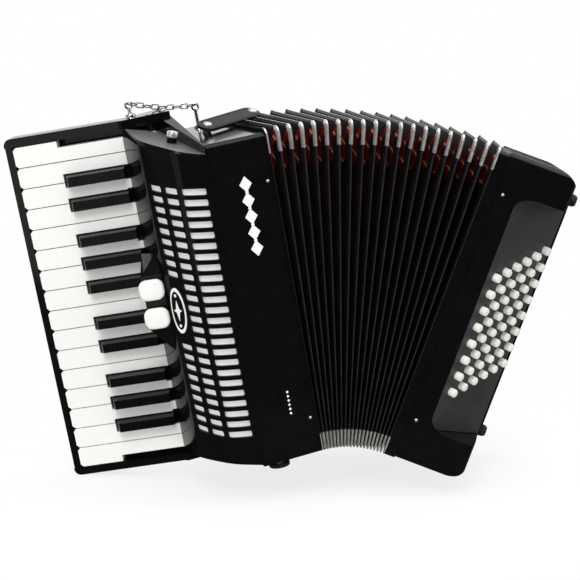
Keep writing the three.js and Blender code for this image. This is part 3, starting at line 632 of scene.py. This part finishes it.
def fold_shape(k):
    first, last = k == 0, k == FOLD_COUNT
    profile = fold_profile(first, last)
    bm = bmesh.new()
    rings = []
    for f, dx, inset in profile:
        place = fold_frame((k + f) / FOLD_COUNT)
        rings.append([
            bm.verts.new(place @ Vector((BELLOWS_START + dx, y, z))) for y, z in ridge_loop(inset)])
    count = len(rings[0])
    for i, (a, b) in enumerate(zip(rings, rings[1:])):
        depth = min(profile[i][2], profile[i + 1][2])
        loop = ridge_loop(depth)
        for j in range(count):
            n = (j + 1) % count
            lowest = min(loop[j][1], loop[n][1]) + depth
            middle = RIDGE_FRONT + RED_FRONT < loop[j][0] - depth < RIDGE_BACK - RED_BACK
            on_end = lowest <= RIDGE_HIGH - 1 and not middle
            # Painted shade: the ends' red cloth shows red only near the top; lower down it is drawn as black
            # card, and deep in every fold as dark red.
            if depth >= TAPE_DEPTH and lowest > RIDGE_HIGH - RED_DEPTH and on_end:
                material_index = CLOTH
            elif depth >= CLOTH_DEPTH:
                # dark red valley: painted shade of the red cloth
                material_index = VALLEY_SHADE
            elif depth >= TAPE_DEPTH:
                material_index = CARD
            else:
                # The crest along the top ridge is drawn in bright metal, a painted highlight on the dark
                # tape; the corner caps themselves are real metal.
                material_index = CAP_AND_CREST_HIGHLIGHT if lowest > RIDGE_HIGH - 1 and depth < 0.1 else TAPE
            bm.faces.new([a[j], a[n], b[n], b[j]]).material_index = material_index
    add_corner_caps(bm, k, first, last)
    return bm


def cap_path(corner_y, corner_z):
    """The line of one metal corner: down the front or back, round the corner and along the top or bottom."""
    front = corner_y == RIDGE_FRONT
    top = corner_z == RIDGE_HIGH
    sy = 1 if front else -1
    sz = -1 if top else 1
    bend = arc((CORNER_RADIUS, CORNER_RADIUS), CORNER_RADIUS, 2, 4)
    path = [(0, CAP_REACH["front" if top else "foot"]), *bend, (CAP_REACH["top"], 0)]
    return [(corner_y + sy * a, corner_z + sz * b) for a, b in path]


def add_corner_caps(bm, k, first, last):
    """Bent metal strips over the ridge at the four corners; section is (fraction, sideways mm, depth mm)."""
    section = [(-0.10, -0.8, 4.0), (-0.06, -0.8, 1.6), (-0.02, -0.45, -0.2), (0.02, 0.45, -0.2),
               (0.06, 0.8, 1.6), (0.10, 0.8, 4.0)]
    if first:
        section = section[2:]
    if last:
        section = section[:4]
    middle = Vector(((RIDGE_FRONT + RIDGE_BACK) / 2, (RIDGE_LOW + RIDGE_HIGH) / 2))
    for corner_y in (RIDGE_FRONT, RIDGE_BACK):
        for corner_z in (RIDGE_LOW, RIDGE_HIGH):
            path = cap_path(corner_y, corner_z)
            rows = []
            for i, (y, z) in enumerate(path):
                along = path[min(i + 1, len(path) - 1)], path[max(i - 1, 0)]
                tangent = Vector(along[0]) - Vector(along[1])
                inward = Vector((-tangent.y, tangent.x)).normalized()
                if inward.dot(middle - Vector((y, z))) < 0:
                    inward = -inward
                row = []
                for f, dx, inset in section:
                    point = Vector((y, z)) + inward * inset
                    place = fold_frame((k + f) / FOLD_COUNT)
                    row.append(bm.verts.new(place @ Vector((BELLOWS_START + dx, point.x, point.y))))
                rows.append(row)
            for a, b in zip(rows, rows[1:]):
                for j in range(len(section) - 1):
                    bm.faces.new([a[j], a[j + 1], b[j + 1], b[j]]).material_index = CAP_AND_CREST_HIGHLIGHT


def blend_fold(obj):
    """Bakes the fold's placing into its mesh; each fold already turns by its own share of the bellows' angle
    where its shape is built.
    """
    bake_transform(obj)


for k in range(FOLD_COUNT + 1):
    name = f"bellows_fold_{k + 1:02d}"
    fold = new_piece(name, fold_shape(k), Matrix(), None, BELLOWS_FINISHES)
    smooth_by_angle(fold, 28)
    blend_fold(fold)
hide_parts("bellows")

# -------- bellows pins
PIN_PROFILE = [(0, 1.2), (0.9, 1.0), (1.4, 0.5), (1.6, 0), (1.6, -0.6), (0, -0.6)]
PIN_HEIGHTS = (36.7, 155, 266.2)
TREBLE_PIN_X, BASS_PIN_X = 51.4, 17.4


def pins(name, place, body, x, front_heights):
    bm = bmesh.new()
    for z in front_heights:
        add_lathe(bm, PIN_PROFILE, (x, -0.3, z), (0, -1, 0), 24)
    for z in PIN_HEIGHTS:
        add_lathe(bm, PIN_PROFILE, (x, DEPTH + 0.3, z), (0, 1, 0), 24)
    new_piece(name, bm, place, body, ["bright_metal"])


pins("treble_bellows_pins", TREBLE, "treble_half", TREBLE_PIN_X, (PIN_HEIGHTS[0], PIN_HEIGHTS[2]))
pins("bass_bellows_pins", BASS, "bass_half", BASS_PIN_X, (43, 272))

# -------- grille
GRILLE_WALL = 2.5
GRILLE_END_Y = 105.5
GRILLE_CAP_Y = 98
GRILLE_PATH = [
    (-0.3, 0), (-10, 0.46), (-19, 0.95), (-25.5, 2.2), (-30, 4.6), (-34, 8.2), (-38, 13.2), (-42.2, 19.4),
    (-46.5, 26.6), (-50, 34.4), (-52.2, 43), (-53, 54), (-53, 66), (-52.4, 80), (-51.5, 93),
    (-50.5, GRILLE_END_Y)]
GRILLE_BLEND = (3, 15)            # the upper edge rolls this far inwards over this height
SLOT_ROWS = 24
SLOT_TOP = 268.9
SLOT_PITCH = 10.1
SLOT_HEIGHT = 6
SLOT_RISE = 0.17
SLOT_COLUMNS = ((6.6, 29.2), (33.8, 48.2), (51.9, 67.6))
BADGE_ROWS = (9, 15)
SHEET_TOP, SHEET_FOOT = 282, 26   # between these heights the grille's sheet is upright and plain
BLEND_STEPS = (0, 0.3, 0.5, 0.65, 0.77, 0.86, 0.92, 0.96, 0.985)
FACET_END_Y = 116                 # the upper end reaches behind the key axle's end
CLOTH_SPAN = ((4, 24), (71, 293))


def smooth_path(points, steps=5):
    """A curve through the points, as (distance, x, y) samples."""
    padded = [points[0], *points, points[-1]]
    samples = []
    for i in range(1, len(padded) - 2):
        p0, p1, p2, p3 = (Vector(p) for p in padded[i - 1:i + 3])
        for s in range(steps):
            t = s / steps
            samples.append(0.5 * (2 * p1 + (p2 - p0) * t + (2 * p0 - 5 * p1 + 4 * p2 - p3) * t * t
                                  + (3 * p1 - p0 - 3 * p2 + p3) * t ** 3))
    samples.append(Vector(points[-1]))
    total = 0
    path = [(0, samples[0])]
    for a, b in zip(samples, samples[1:]):
        total += (b - a).length
        path.append((total, b))
    return path


GRILLE_CURVE = smooth_path(GRILLE_PATH)
GRILLE_LENGTH = GRILLE_CURVE[-1][0]


def on_grille(distance):
    """The point at a distance round the grille from its edge at the casing, and its outward normal."""
    distance = min(max(distance, 0), GRILLE_LENGTH)
    for (a, p), (b, q) in zip(GRILLE_CURVE, GRILLE_CURVE[1:]):
        if distance <= b:
            point = p.lerp(q, (distance - a) / (b - a))
            tangent = (q - p).normalized()
            return point, Vector((-tangent.y, tangent.x))
    return GRILLE_CURVE[-1][1], Vector((-1, 0))


def grille_top(x, y):
    """The height of the sloping flat on the upper end."""
    return 301.3 - 0.3 * x + 0.12 * y


def grille_foot(x, y):
    """The height of the sloping flat under the lower end."""
    return 3 - 0.3 * x - 0.09 * y


def slot_outline(row, start, end):
    ring = rounded_outline(end - start, SLOT_HEIGHT, 1.5, 4, ((start + end) / 2, SLOT_TOP - row * SLOT_PITCH))
    return [(x, z + (x - 6.5) * SLOT_RISE) for x, z in ring]


def grille_surface(distance, z):
    """Carries a point of the flat sheet to the grille's outer side."""
    point, normal = on_grille(distance)
    if z > SHEET_TOP:
        top = grille_top(point.x, point.y)
        z = SHEET_TOP + (z - SHEET_TOP) / (HEIGHT - SHEET_TOP) * (top - SHEET_TOP)
        share = max(0, 1 - (top - z) / GRILLE_BLEND[1])
        point = point - normal * GRILLE_BLEND[0] * (1 - math.sqrt(max(0, 1 - share * share)))
    elif z < SHEET_FOOT:
        foot = grille_foot(point.x, point.y)
        z = foot + z / SHEET_FOOT * (SHEET_FOOT - foot)
    return Vector((point.x, point.y, z))


def grille_shape():
    holes = [
        slot_outline(row, start, end) for row in range(SLOT_ROWS)
        for column, (start, end) in enumerate(SLOT_COLUMNS)
        if column < 2 or not BADGE_ROWS[0] <= row < BADGE_ROWS[1]]
    outline = [(0, 0), (GRILLE_LENGTH, 0), (GRILLE_LENGTH, HEIGHT), (0, HEIGHT)]
    rows = [SHEET_TOP + (HEIGHT - SHEET_TOP) * f for f in BLEND_STEPS]
    bm = flat_sheet(outline, holes, [distance for distance, _ in GRILLE_CURVE[1:-1]], rows)
    for vertex in bm.verts:
        vertex.co = grille_surface(vertex.co.x, vertex.co.y)
    thicken(bm, GRILLE_WALL, (-0.6, -1, 0))
    return bm


grille = new_piece("grille_cover", grille_shape(), TREBLE, "treble_half", ["grille_black"])
bevel(grille, 0.45, 2)
smooth_by_angle(grille)
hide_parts("grille")


def grille_end(name, height_at, inset, outward, end_y, finish):
    """The flat plate that closes one end of the grille."""
    curve = [on_grille(distance) for distance, p in GRILLE_CURVE if p.y <= end_y]
    outline = [tuple(point - normal * inset) for point, normal in curve[1:]]
    outline = [(-0.4, outline[0][1]), *outline, (outline[-1][0] + 0.5, end_y), (-0.4, end_y)]
    bm = bmesh.new()
    bm.faces.new([bm.verts.new((x, y, height_at(x, y))) for x, y in outline])
    thicken(bm, GRILLE_WALL, (0, 0, outward))
    piece = new_piece(name, bm, TREBLE, "treble_half", [finish])
    bevel(piece, 0.5)
    smooth_by_angle(piece)


# The sloping top flat takes the painted grey reflection.
grille_end("grille_end_top", lambda x, y: grille_top(x, y) + 0.25, GRILLE_BLEND[0] - 0.3, 1, FACET_END_Y,
           "facet_painted_reflection")
grille_end("grille_end_bottom", lambda x, y: grille_foot(x, y) - 0.1, 0.2, -1, GRILLE_CAP_Y, "gloss_black")


def grille_cloth():
    """The cloth behind the slots follows the inside of the grille."""
    (start, low), (stop, high) = CLOTH_SPAN
    outline = [(start, low), (stop, low), (stop, high), (start, high)]
    bm = flat_sheet(outline, (), range(start + 2, stop - 1, 2))
    for vertex in bm.verts:
        point, normal = on_grille(vertex.co.x)
        behind = point - normal * (GRILLE_WALL + 0.6)
        vertex.co = (behind.x, behind.y, vertex.co.y)
    piece = new_piece("grille_cloth_sheet", bm, TREBLE, "treble_half", ["silver_cloth"])
    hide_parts("grille_cloth")


grille_cloth()

# -------- register tabs
SWITCH_MIDDLE = 119.5
SWITCH_SIZE = (24.0, 20)
SWITCH_Z = (182.75, 155.25)
SWITCH_BACK = -61
SWITCH_CORNER = 7.5
SWITCH_LAYERS = [(0, 1.2), (0.3, 0.4), (1, 0), (2.7, 0.1), (3.7, 0.7), (4.3, 1.8), (4.5, 3.4)]
SWITCH_STEM = [(0, -0.5), (3, -0.5), (3, 6.5), (0, 6.5)]


def register_tab(number, z):
    """A pillow-shaped rocking tab on a short stem."""
    bm = bmesh.new()
    loops = []
    for rise, inset in SWITCH_LAYERS:
        length, height = (side - inset * 2 for side in SWITCH_SIZE)
        ring = rounded_outline(length, height, SWITCH_CORNER - inset * 0.9, 8)
        loops.append([bm.verts.new((SWITCH_MIDDLE + x, SWITCH_BACK - rise, z + y)) for x, y in ring])
    bridge(bm, loops)
    bm.faces.new(loops[0])
    bm.faces.new(loops[-1])
    add_lathe(bm, SWITCH_STEM, (SWITCH_MIDDLE, SWITCH_BACK, z), (0, 1, 0), 20)
    node = f"register_switch_{number}"
    stand_in(node + "_tab", bm, KEYBOARD, node, ["white_plastic"], node)


for number, switch_z in enumerate(SWITCH_Z, 1):
    register_tab(number, switch_z)

# -------- ornament in place of the marks
def inlay(name, outlines):
    """Thin white shapes laid on the front of the treble casing."""
    bm = bmesh.new()
    for outline in outlines:
        add_slab(bm, outline, on_front, 0.02, 0.3)
    new_piece(name, bm, TREBLE, "treble_half", ["white_plastic"], smooth=False)


def on_front(x, z, proud):
    return Vector((x, -proud, z))


def lozenge(x, z, width, height):
    return [(x + width / 2, z), (x, z + height / 2), (x - width / 2, z), (x, z - height / 2)]


ORNAMENT_X = 30
ORNAMENT_Z = (207.7, 267.7)
LOZENGES = 5
DOTS_AT = (33.5, 46)
DOTS, DOT_PITCH = 6, 4.2


def ornament():
    """A column of lozenges with a bead between each two."""
    pitch = (ORNAMENT_Z[1] - ORNAMENT_Z[0]) / (LOZENGES - 1)
    outlines = []
    for i in range(LOZENGES):
        z = ORNAMENT_Z[0] + pitch * i
        outlines.append(lozenge(ORNAMENT_X, z, 12, 15))
        if i < LOZENGES - 1:
            outlines.append(circle_outline((ORNAMENT_X, z + pitch / 2), 1.6, 20))
    return outlines


inlay("front_ornament", ornament())
inlay("front_small_ornament", [
    circle_outline((DOTS_AT[0], DOTS_AT[1] + DOT_PITCH * i), 1.1, 16) for i in range(DOTS)])

BADGE_Z = 162
BADGE_AT = 59.6
BADGE_HALF = (9.5, 22)


def on_badge(x, z, proud):
    point, normal = on_grille(BADGE_AT + x)
    return Vector((point.x + normal.x * proud, point.y + normal.y * proud, BADGE_Z + z))


def oval(scale):
    return circle_outline((0, 0), BADGE_HALF[0] * scale, 48, BADGE_HALF[1] / BADGE_HALF[0])


def badge():
    """A raised oval ring round a black field with a four-pointed star and two dots."""
    bm = bmesh.new()
    rings = [(1.0, 0.1), (0.99, 1.0), (0.9, 1.2), (0.88, 0.8), (0.84, 0.8)]
    loops = [[bm.verts.new(on_badge(x, z, proud)) for x, z in oval(scale)] for scale, proud in rings]
    bridge(bm, loops)
    bm.faces.new(loops[-1]).material_index = 1
    motif = [lozenge(0, 0, 5, 20), lozenge(0, 0, 11, 5),
             circle_outline((0, 14.5), 1.5, 16), circle_outline((0, -14.5), 1.5, 16)]
    for outline in motif:
        add_slab(bm, outline, on_badge, 0.7, 1.1)
    new_piece("grille_badge", bm, TREBLE, "treble_half", ["white_plastic", "gloss_black"],
              smooth=False)


badge()

# -------- bass buttons and board
BUTTON_ROWS, BUTTONS_PER_ROW = 6, 8
BUTTON_PITCH, ROW_PITCH, ROW_SLANT = 16.8, 12.5, 7.3
FIRST_BUTTON = (14, 78.6)
BUTTON_RADIUS = 4.5
BUTTON_PROFILE = [(0, -5.5), (2.7, -5.4), (3.4, -5.2), (3.9, -4.7), (4.1, -4.0), (4.1, 8), (0, 8)]


def button_row(row):
    """One slanted row of buttons; returns where they stand."""
    centres = [
        (FIRST_BUTTON[0] + row * ROW_PITCH, FIRST_BUTTON[1] + row * ROW_SLANT + i * BUTTON_PITCH)
        for i in range(BUTTONS_PER_ROW)]
    bm = bmesh.new()
    for x, z in centres:
        add_lathe(bm, BUTTON_PROFILE, (x, 0, z), (0, 1, 0), 28)
    node = f"bass_button_row_{row + 1}"
    stand_in(f"bass_buttons_{row + 1}", bm, BOARD, node, ["ivory"], node)
    return centres


button_centres = [centre for row in range(BUTTON_ROWS) for centre in button_row(row)]

BOARD_CORNER = 13
BOARD_SPAN = (38.3, 276.7)


def board_outline():
    """The board's plate: square at the end cover, rounded towards the bellows."""
    low, high = BOARD_SPAN
    x = 0.4 + BOARD_CORNER
    square = [(BOARD_LENGTH - 0.6, low), (BOARD_LENGTH - 0.6, high)]
    upper = arc((x, high - BOARD_CORNER), BOARD_CORNER, 1, 8)
    return square + upper + arc((x, low + BOARD_CORNER), BOARD_CORNER, 2, 8)


def button_board():
    holes = [circle_outline(centre, BUTTON_RADIUS + 0.5, 28) for centre in button_centres]
    bm = flat_sheet(board_outline(), holes)
    for vertex in bm.verts:
        vertex.co = (vertex.co.x, 0.3, vertex.co.y)
    thicken(bm, 2.4, (0, -1, 0))
    piece = new_piece("bass_board", bm, BOARD, "bass_half", ["satin_grey"])
    bevel(piece, 0.4, 2)
    smooth_by_angle(piece)
    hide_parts("button_board")


button_board()

# -------- chain between the strap posts
POSTS = {"strap_post_left": ((-33, 131, 337.0), 14), "strap_post_right": ((38, 153, 310.3), 24)}
EYE_RADIUS, EYE_WIRE, EYE_DROP = 3.1, 1.2, 3.4
LINK_WIRE = 0.85
LINK_COUNT = 9
LINK_HALF_WIDTH = 2.2
CHAIN_SAG = 3.0
CHAIN_LIFT = 2                    # the end links ride this high in the eyes


def post_piece(node, at, height):
    """A flanged post with an eye on top; returns the middle of the eye."""
    profile = [(0, 0), (5, 0), (5, 1), (4.4, 2), (2.2, 2.8), (1.8, 4), (1.8, height - 6), (0, height - 6)]
    bm = bmesh.new()
    add_lathe(bm, profile, at, (0, 0, 1))
    centre = Vector(at) + Vector((0, 0, height - EYE_DROP))
    ring = [centre + Vector((x, 0, z)) for x, z in circle_outline((0, 0), EYE_RADIUS, 28)]
    add_tube(bm, ring, EYE_WIRE, 12, closed=True)
    stand_in(node + "_eye", bm, TREBLE, "treble_half", ["chrome"], node)
    return centre


def chain(start, stop):
    """Wire links, each turned against the next, along a shallow sag."""
    bm = bmesh.new()
    spots = []
    for i in range(LINK_COUNT + 1):
        share = i / LINK_COUNT
        height = CHAIN_LIFT - 4 * CHAIN_SAG * share * (1 - share)
        spots.append(start.lerp(stop, share) + Vector((0, 0, height)))
    for i, (a, b) in enumerate(zip(spots, spots[1:])):
        along = (b - a).normalized()
        side = along.cross(Vector((0, 0, 1))).normalized()
        up = side.cross(along)
        twist = i % 2 * 1.2 + 0.4
        across = side * math.cos(twist) + up * math.sin(twist)
        stretch = (b - a).length / 2 + LINK_WIRE * 0.9 - LINK_HALF_WIDTH
        loop = []
        for x, y in circle_outline((0, 0), LINK_HALF_WIDTH, 24):
            loop.append((a + b) / 2 + along * (math.copysign(stretch, x) + x) + across * y)
        add_tube(bm, loop, LINK_WIRE, 10, closed=True)
    piece = new_piece("strap_chain_links", bm, TREBLE, "treble_half", ["chrome"])
    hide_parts("strap_chain")


chain(*[post_piece(node, at, height) for node, (at, height) in POSTS.items()])

# -------- thumb screw
SCREW_SPOT = (-18.7, 48.2)
SCREW_AT = Vector((*SCREW_SPOT, grille_top(*SCREW_SPOT) + 0.15))
SCREW_AXIS = Vector((0.3, -0.12, 1)).normalized()
SCREW_POST = [(0, 0), (4.6, 0), (4.6, 5.6), (0, 5.6)]
SCREW_HEAD = [(0, 5.5), (4.9, 5.5), (5.4, 6.2), (5.4, 9.8), (4.8, 10.8), (2.5, 11.3), (0, 11.4)]


def thumb_screw():
    bm = bmesh.new()
    add_lathe(bm, SCREW_POST, SCREW_AT, SCREW_AXIS, 40, 1)
    add_lathe(bm, SCREW_HEAD, SCREW_AT, SCREW_AXIS, 40)
    stand_in("grille_thumb_screw", bm, TREBLE, "treble_half", ["bright_metal", "key_black"],
             "grille_screw_top")


thumb_screw()

# -------- straps
STRAP_LENGTH, STRAP_WIDTH, STRAP_THICK = 78, 20, 3.0
STRAP_STUDS = ((0, 4.4), (67, 4.6))
STRAP_ROLL = 24                   # the top strap lies tilted towards the player
STITCH_PITCH = 3.2


def closing_strap_shape(post):
    """A strap with rounded ends, a sewn line near each edge, metal studs and a post under its pivot."""
    half = STRAP_WIDTH / 2
    far = STRAP_LENGTH - half - 5
    outline = arc((far, 0), half, -1, 12, math.pi) + arc((0, 0), half, 1, 12, math.pi)
    bm = flat_sheet(outline, (), [STRAP_LENGTH * i / 24 for i in range(24)])
    thicken(bm, STRAP_THICK, (0, 0, 1))
    for y in (2.2 - half, half - 2.2):
        for i in range(int((far + 1) / STITCH_PITCH) + 1):
            x = i * STITCH_PITCH
            stitch = [(x, y, -0.1), (x + 0.5, y, 0.22), (x + 1.6, y, 0.22), (x + 2.1, y, -0.1)]
            add_tube(bm, stitch, 0.3, 6, material=1)
    for x, radius in STRAP_STUDS:
        dome = [(0, 2.0), (radius * 0.5, 1.8), (radius * 0.9, 1.1), (radius, 0.3), (radius, -0.5), (0, -0.5)]
        add_lathe(bm, dome, (x, 0, 0), (0, 0, 1), 28, 2)
    top = 0.2 - STRAP_THICK
    add_lathe(bm, [(0, top), (4, top), (4, -post), (0, -post)], (0, 0, 0), (0, 0, 1), 24, 2)
    return bm


def closing_strap(node, pivot, angle, z, turn, post):
    place = TREBLE @ Matrix.Translation((*pivot, z)) @ Matrix.Rotation(math.radians(angle), 4, "Z") @ turn
    stand_in(node + "_leather", closing_strap_shape(post), place, node,
             ["strap_leather", "satin_grey", "bright_metal"], node)


closing_strap("closing_strap_top", (28, 90), 31, HEIGHT + 8.4,
              Matrix.Translation((3, 0, -0.5)) @ Matrix.Rotation(math.radians(STRAP_ROLL), 4, "X"), 10.0)
closing_strap("closing_strap_bottom", (18, 16), 80, -6.4, Matrix.Rotation(math.pi, 4, "X"), 5.8)

HAND_STRAP_Y = (126, 160)
HAND_STRAP_Z = (56, 254)
HAND_STRAP_BASE = BASS_WIDTH + 2.6
HAND_STRAP_RISE = 2.4
HAND_STRAP_HALF = 1.15            # half its thickness
RIVET_PROFILE = [(0, 4.3), (1.8, 4.0), (2.9, 3.0), (3.0, 2.0), (0, 2.0)]


def hand_strap_x(z):
    """The middle of the leather, which rises from the end cover between its two ends."""
    share = (z - HAND_STRAP_Z[0]) / (HAND_STRAP_Z[1] - HAND_STRAP_Z[0])
    return HAND_STRAP_BASE + 1.3 + HAND_STRAP_RISE * min(1, math.sin(math.pi * share) * 3)


def hand_strap():
    """Padded leather strap along the end cover, riveted at each end."""
    low, high = HAND_STRAP_Z
    half = (HAND_STRAP_Y[1] - HAND_STRAP_Y[0]) / 2
    middle = sum(HAND_STRAP_Y) / 2
    steps = 60
    bm = bmesh.new()
    loops = []
    for i in range(steps + 1):
        z = low + (high - low) * i / steps
        loop = []
        for across, depth in circle_outline((0, 0), 1, 20):
            across = math.copysign(abs(across) ** 0.35, across) * half
            depth = math.copysign(abs(depth) ** 0.8, depth) * HAND_STRAP_HALF
            loop.append(bm.verts.new((hand_strap_x(z) + depth, middle + across, z)))
        loops.append(loop)
    bridge(bm, loops)
    bm.faces.new(loops[0])
    bm.faces.new(loops[-1])
    for y in (middle - half + 3, middle + half - 3):
        for i in range(58):
            z = low + 6 + i * STITCH_PITCH
            x = hand_strap_x(z) + 1.1
            stitch = [(x - 0.2, y, z), (x + 0.25, y, z + 0.5), (x + 0.25, y, z + 1.7), (x - 0.2, y, z + 2.2)]
            add_tube(bm, stitch, 0.32, 6, material=1)
    for z in (low + 5, high - 5):
        for y in (middle - 9, middle + 9):
            add_lathe(bm, RIVET_PROFILE, (HAND_STRAP_BASE, y, z), (1, 0, 0), 20, 2)
    stand_in("hand_strap_leather", bm, BASS, "bass_half", ["leather", "satin_grey", "chrome"],
             "hand_strap")


hand_strap()

# -------- floor, camera and light
FLOOR = ((-0.75, 0.85), (-0.4, 1.2))
FLOOR_GAP = 0.0006


def stage_floor():
    """Pale paper that fades to the white of the backdrop away from the accordion, and reflects as dark."""
    bm = bmesh.new()
    steps = 16
    across, back = [
        [low + (high - low) * i / steps for i in range(steps + 1)] for low, high in FLOOR]
    grid = [[bm.verts.new((x, y, -FLOOR_GAP)) for x in across] for y in back]
    for a, b in zip(grid, grid[1:]):
        for i in range(steps):
            bm.faces.new([a[i], a[i + 1], b[i + 1], b[i]])
    mesh = mesh_from(bm, "floor", Matrix())
    obj = add_object("floor", mesh)
    made, tree, shader = material("floor_paper", (0.93, 0.93, 0.93), 0.9)
    vary_color(tree, shader, object_noise(tree, 3, 2), (0.90, 0.90, 0.90), (0.92, 0.92, 0.92))
    shader.inputs["Specular IOR Level"].default_value = 0
    away = add_node(tree, "VectorMath", {0: object_vector(tree, Scale=(1.0, 1.5, 1.0))}, operation="LENGTH")
    fade = spread(tree, away.outputs["Value"], 0.22, 0.52, 0.8, 1.0)
    white = add_node(tree, "Emission").outputs["Emission"]
    paper = add_node(tree, "MixShader", {"Fac": fade, 1: shader.outputs["BSDF"], 2: white})
    dim = add_node(tree, "BsdfDiffuse", {"Color": (0.06, 0.06, 0.06, 1)})
    path = add_node(tree, "LightPath")
    whole = add_node(tree, "MixShader", {
        "Fac": path.outputs["Is Glossy Ray"], 1: paper.outputs["Shader"], 2: dim.outputs["BSDF"]})
    tree.links.new(whole.outputs["Shader"], tree.nodes["Material Output"].inputs["Surface"])
    mesh.materials.append(made)


stage_floor()

CAMERA_AT = TREBLE @ Vector((-349.39, -1290.93, 471.38))
CAMERA_LOOK = Vector((0.326513, 0.930429, -0.166405))
CAMERA_ANGLE = math.radians(21.97)
camera_data = bpy.data.cameras.new("camera")
camera_data.sensor_width = 36
camera_data.angle = CAMERA_ANGLE
camera = add_object("camera", camera_data)
camera.location = CAMERA_AT
camera.rotation_euler = CAMERA_LOOK.to_track_quat("-Z", "Y").to_euler()
bpy.context.scene.camera = camera


def area_light(name, location, target, size, power, height=None):
    data = bpy.data.lights.new(name, "AREA")
    data.energy = power
    data.size = size
    if height:
        data.shape = "RECTANGLE"
        data.size_y = height
    obj = add_object(name, data)
    obj.location = location
    obj.rotation_euler = (Vector(target) - Vector(location)).to_track_quat("-Z", "Y").to_euler()


area_light("key_light", (-0.9, -1.6, 1.9), (0, 0, 0.15), 1.2, 33)
area_light("top_light", (0.35, 0.0, 2.1), (0.05, 0, 0.1), 2.0, 30)
area_light("side_light", (1.9, -0.9, 0.9), (0.1, 0, 0.2), 0.8, 10, 1.4)
area_light("strip_light", (-1.25, -0.95, 0.25), (-0.12, -0.08, 0.22), 0.9, 4, 1.5)

world = bpy.data.worlds.new("studio")
bpy.context.scene.world = world
world.use_nodes = True
tree = world.node_tree
tree.nodes.clear()


def combine(operation, *values):
    return add_node(tree, "Math", enumerate(values), operation=operation).outputs["Value"]


def choose(factor, without, within):
    """A number that is one value where the factor is 0 and another where it is 1."""
    inputs = {"Factor": factor, "A": without, "B": within}
    return add_node(tree, "Mix", inputs, data_type="FLOAT").outputs["Result"]


# The polished black reflects a dark room with a bright paper backdrop behind the accordion.
generated = add_node(tree, "TexCoord").outputs["Generated"]
direction = add_node(tree, "SeparateXYZ", {"Vector": generated}).outputs
behind = spread(tree, direction["Y"], 0.25, 0.6, 0, 1)
above = spread(tree, direction["Z"], -0.05, 0.08, 0, 1)
below = spread(tree, direction["Z"], 0.45, 0.8, 1, 0)
backdrop = combine("MULTIPLY", combine("MULTIPLY", behind, above), below)
sideways = combine("ABSOLUTE", direction["X"])
flags = combine("MAXIMUM", backdrop, spread(tree, sideways, 0.8, 0.97, 0, 0.3))
reflected = spread(tree, flags, 0, 1, 0.02, 1.0)
rays = add_node(tree, "LightPath").outputs
strength = choose(rays["Is Camera Ray"], choose(rays["Is Glossy Ray"], 0.5, reflected), 1.0)
sky = add_node(tree, "Background", {"Color": (1, 1, 1, 1), "Strength": strength}).outputs["Background"]
add_node(tree, "OutputWorld", {"Surface": sky})

bpy.context.scene.view_settings.view_transform = "Standard"
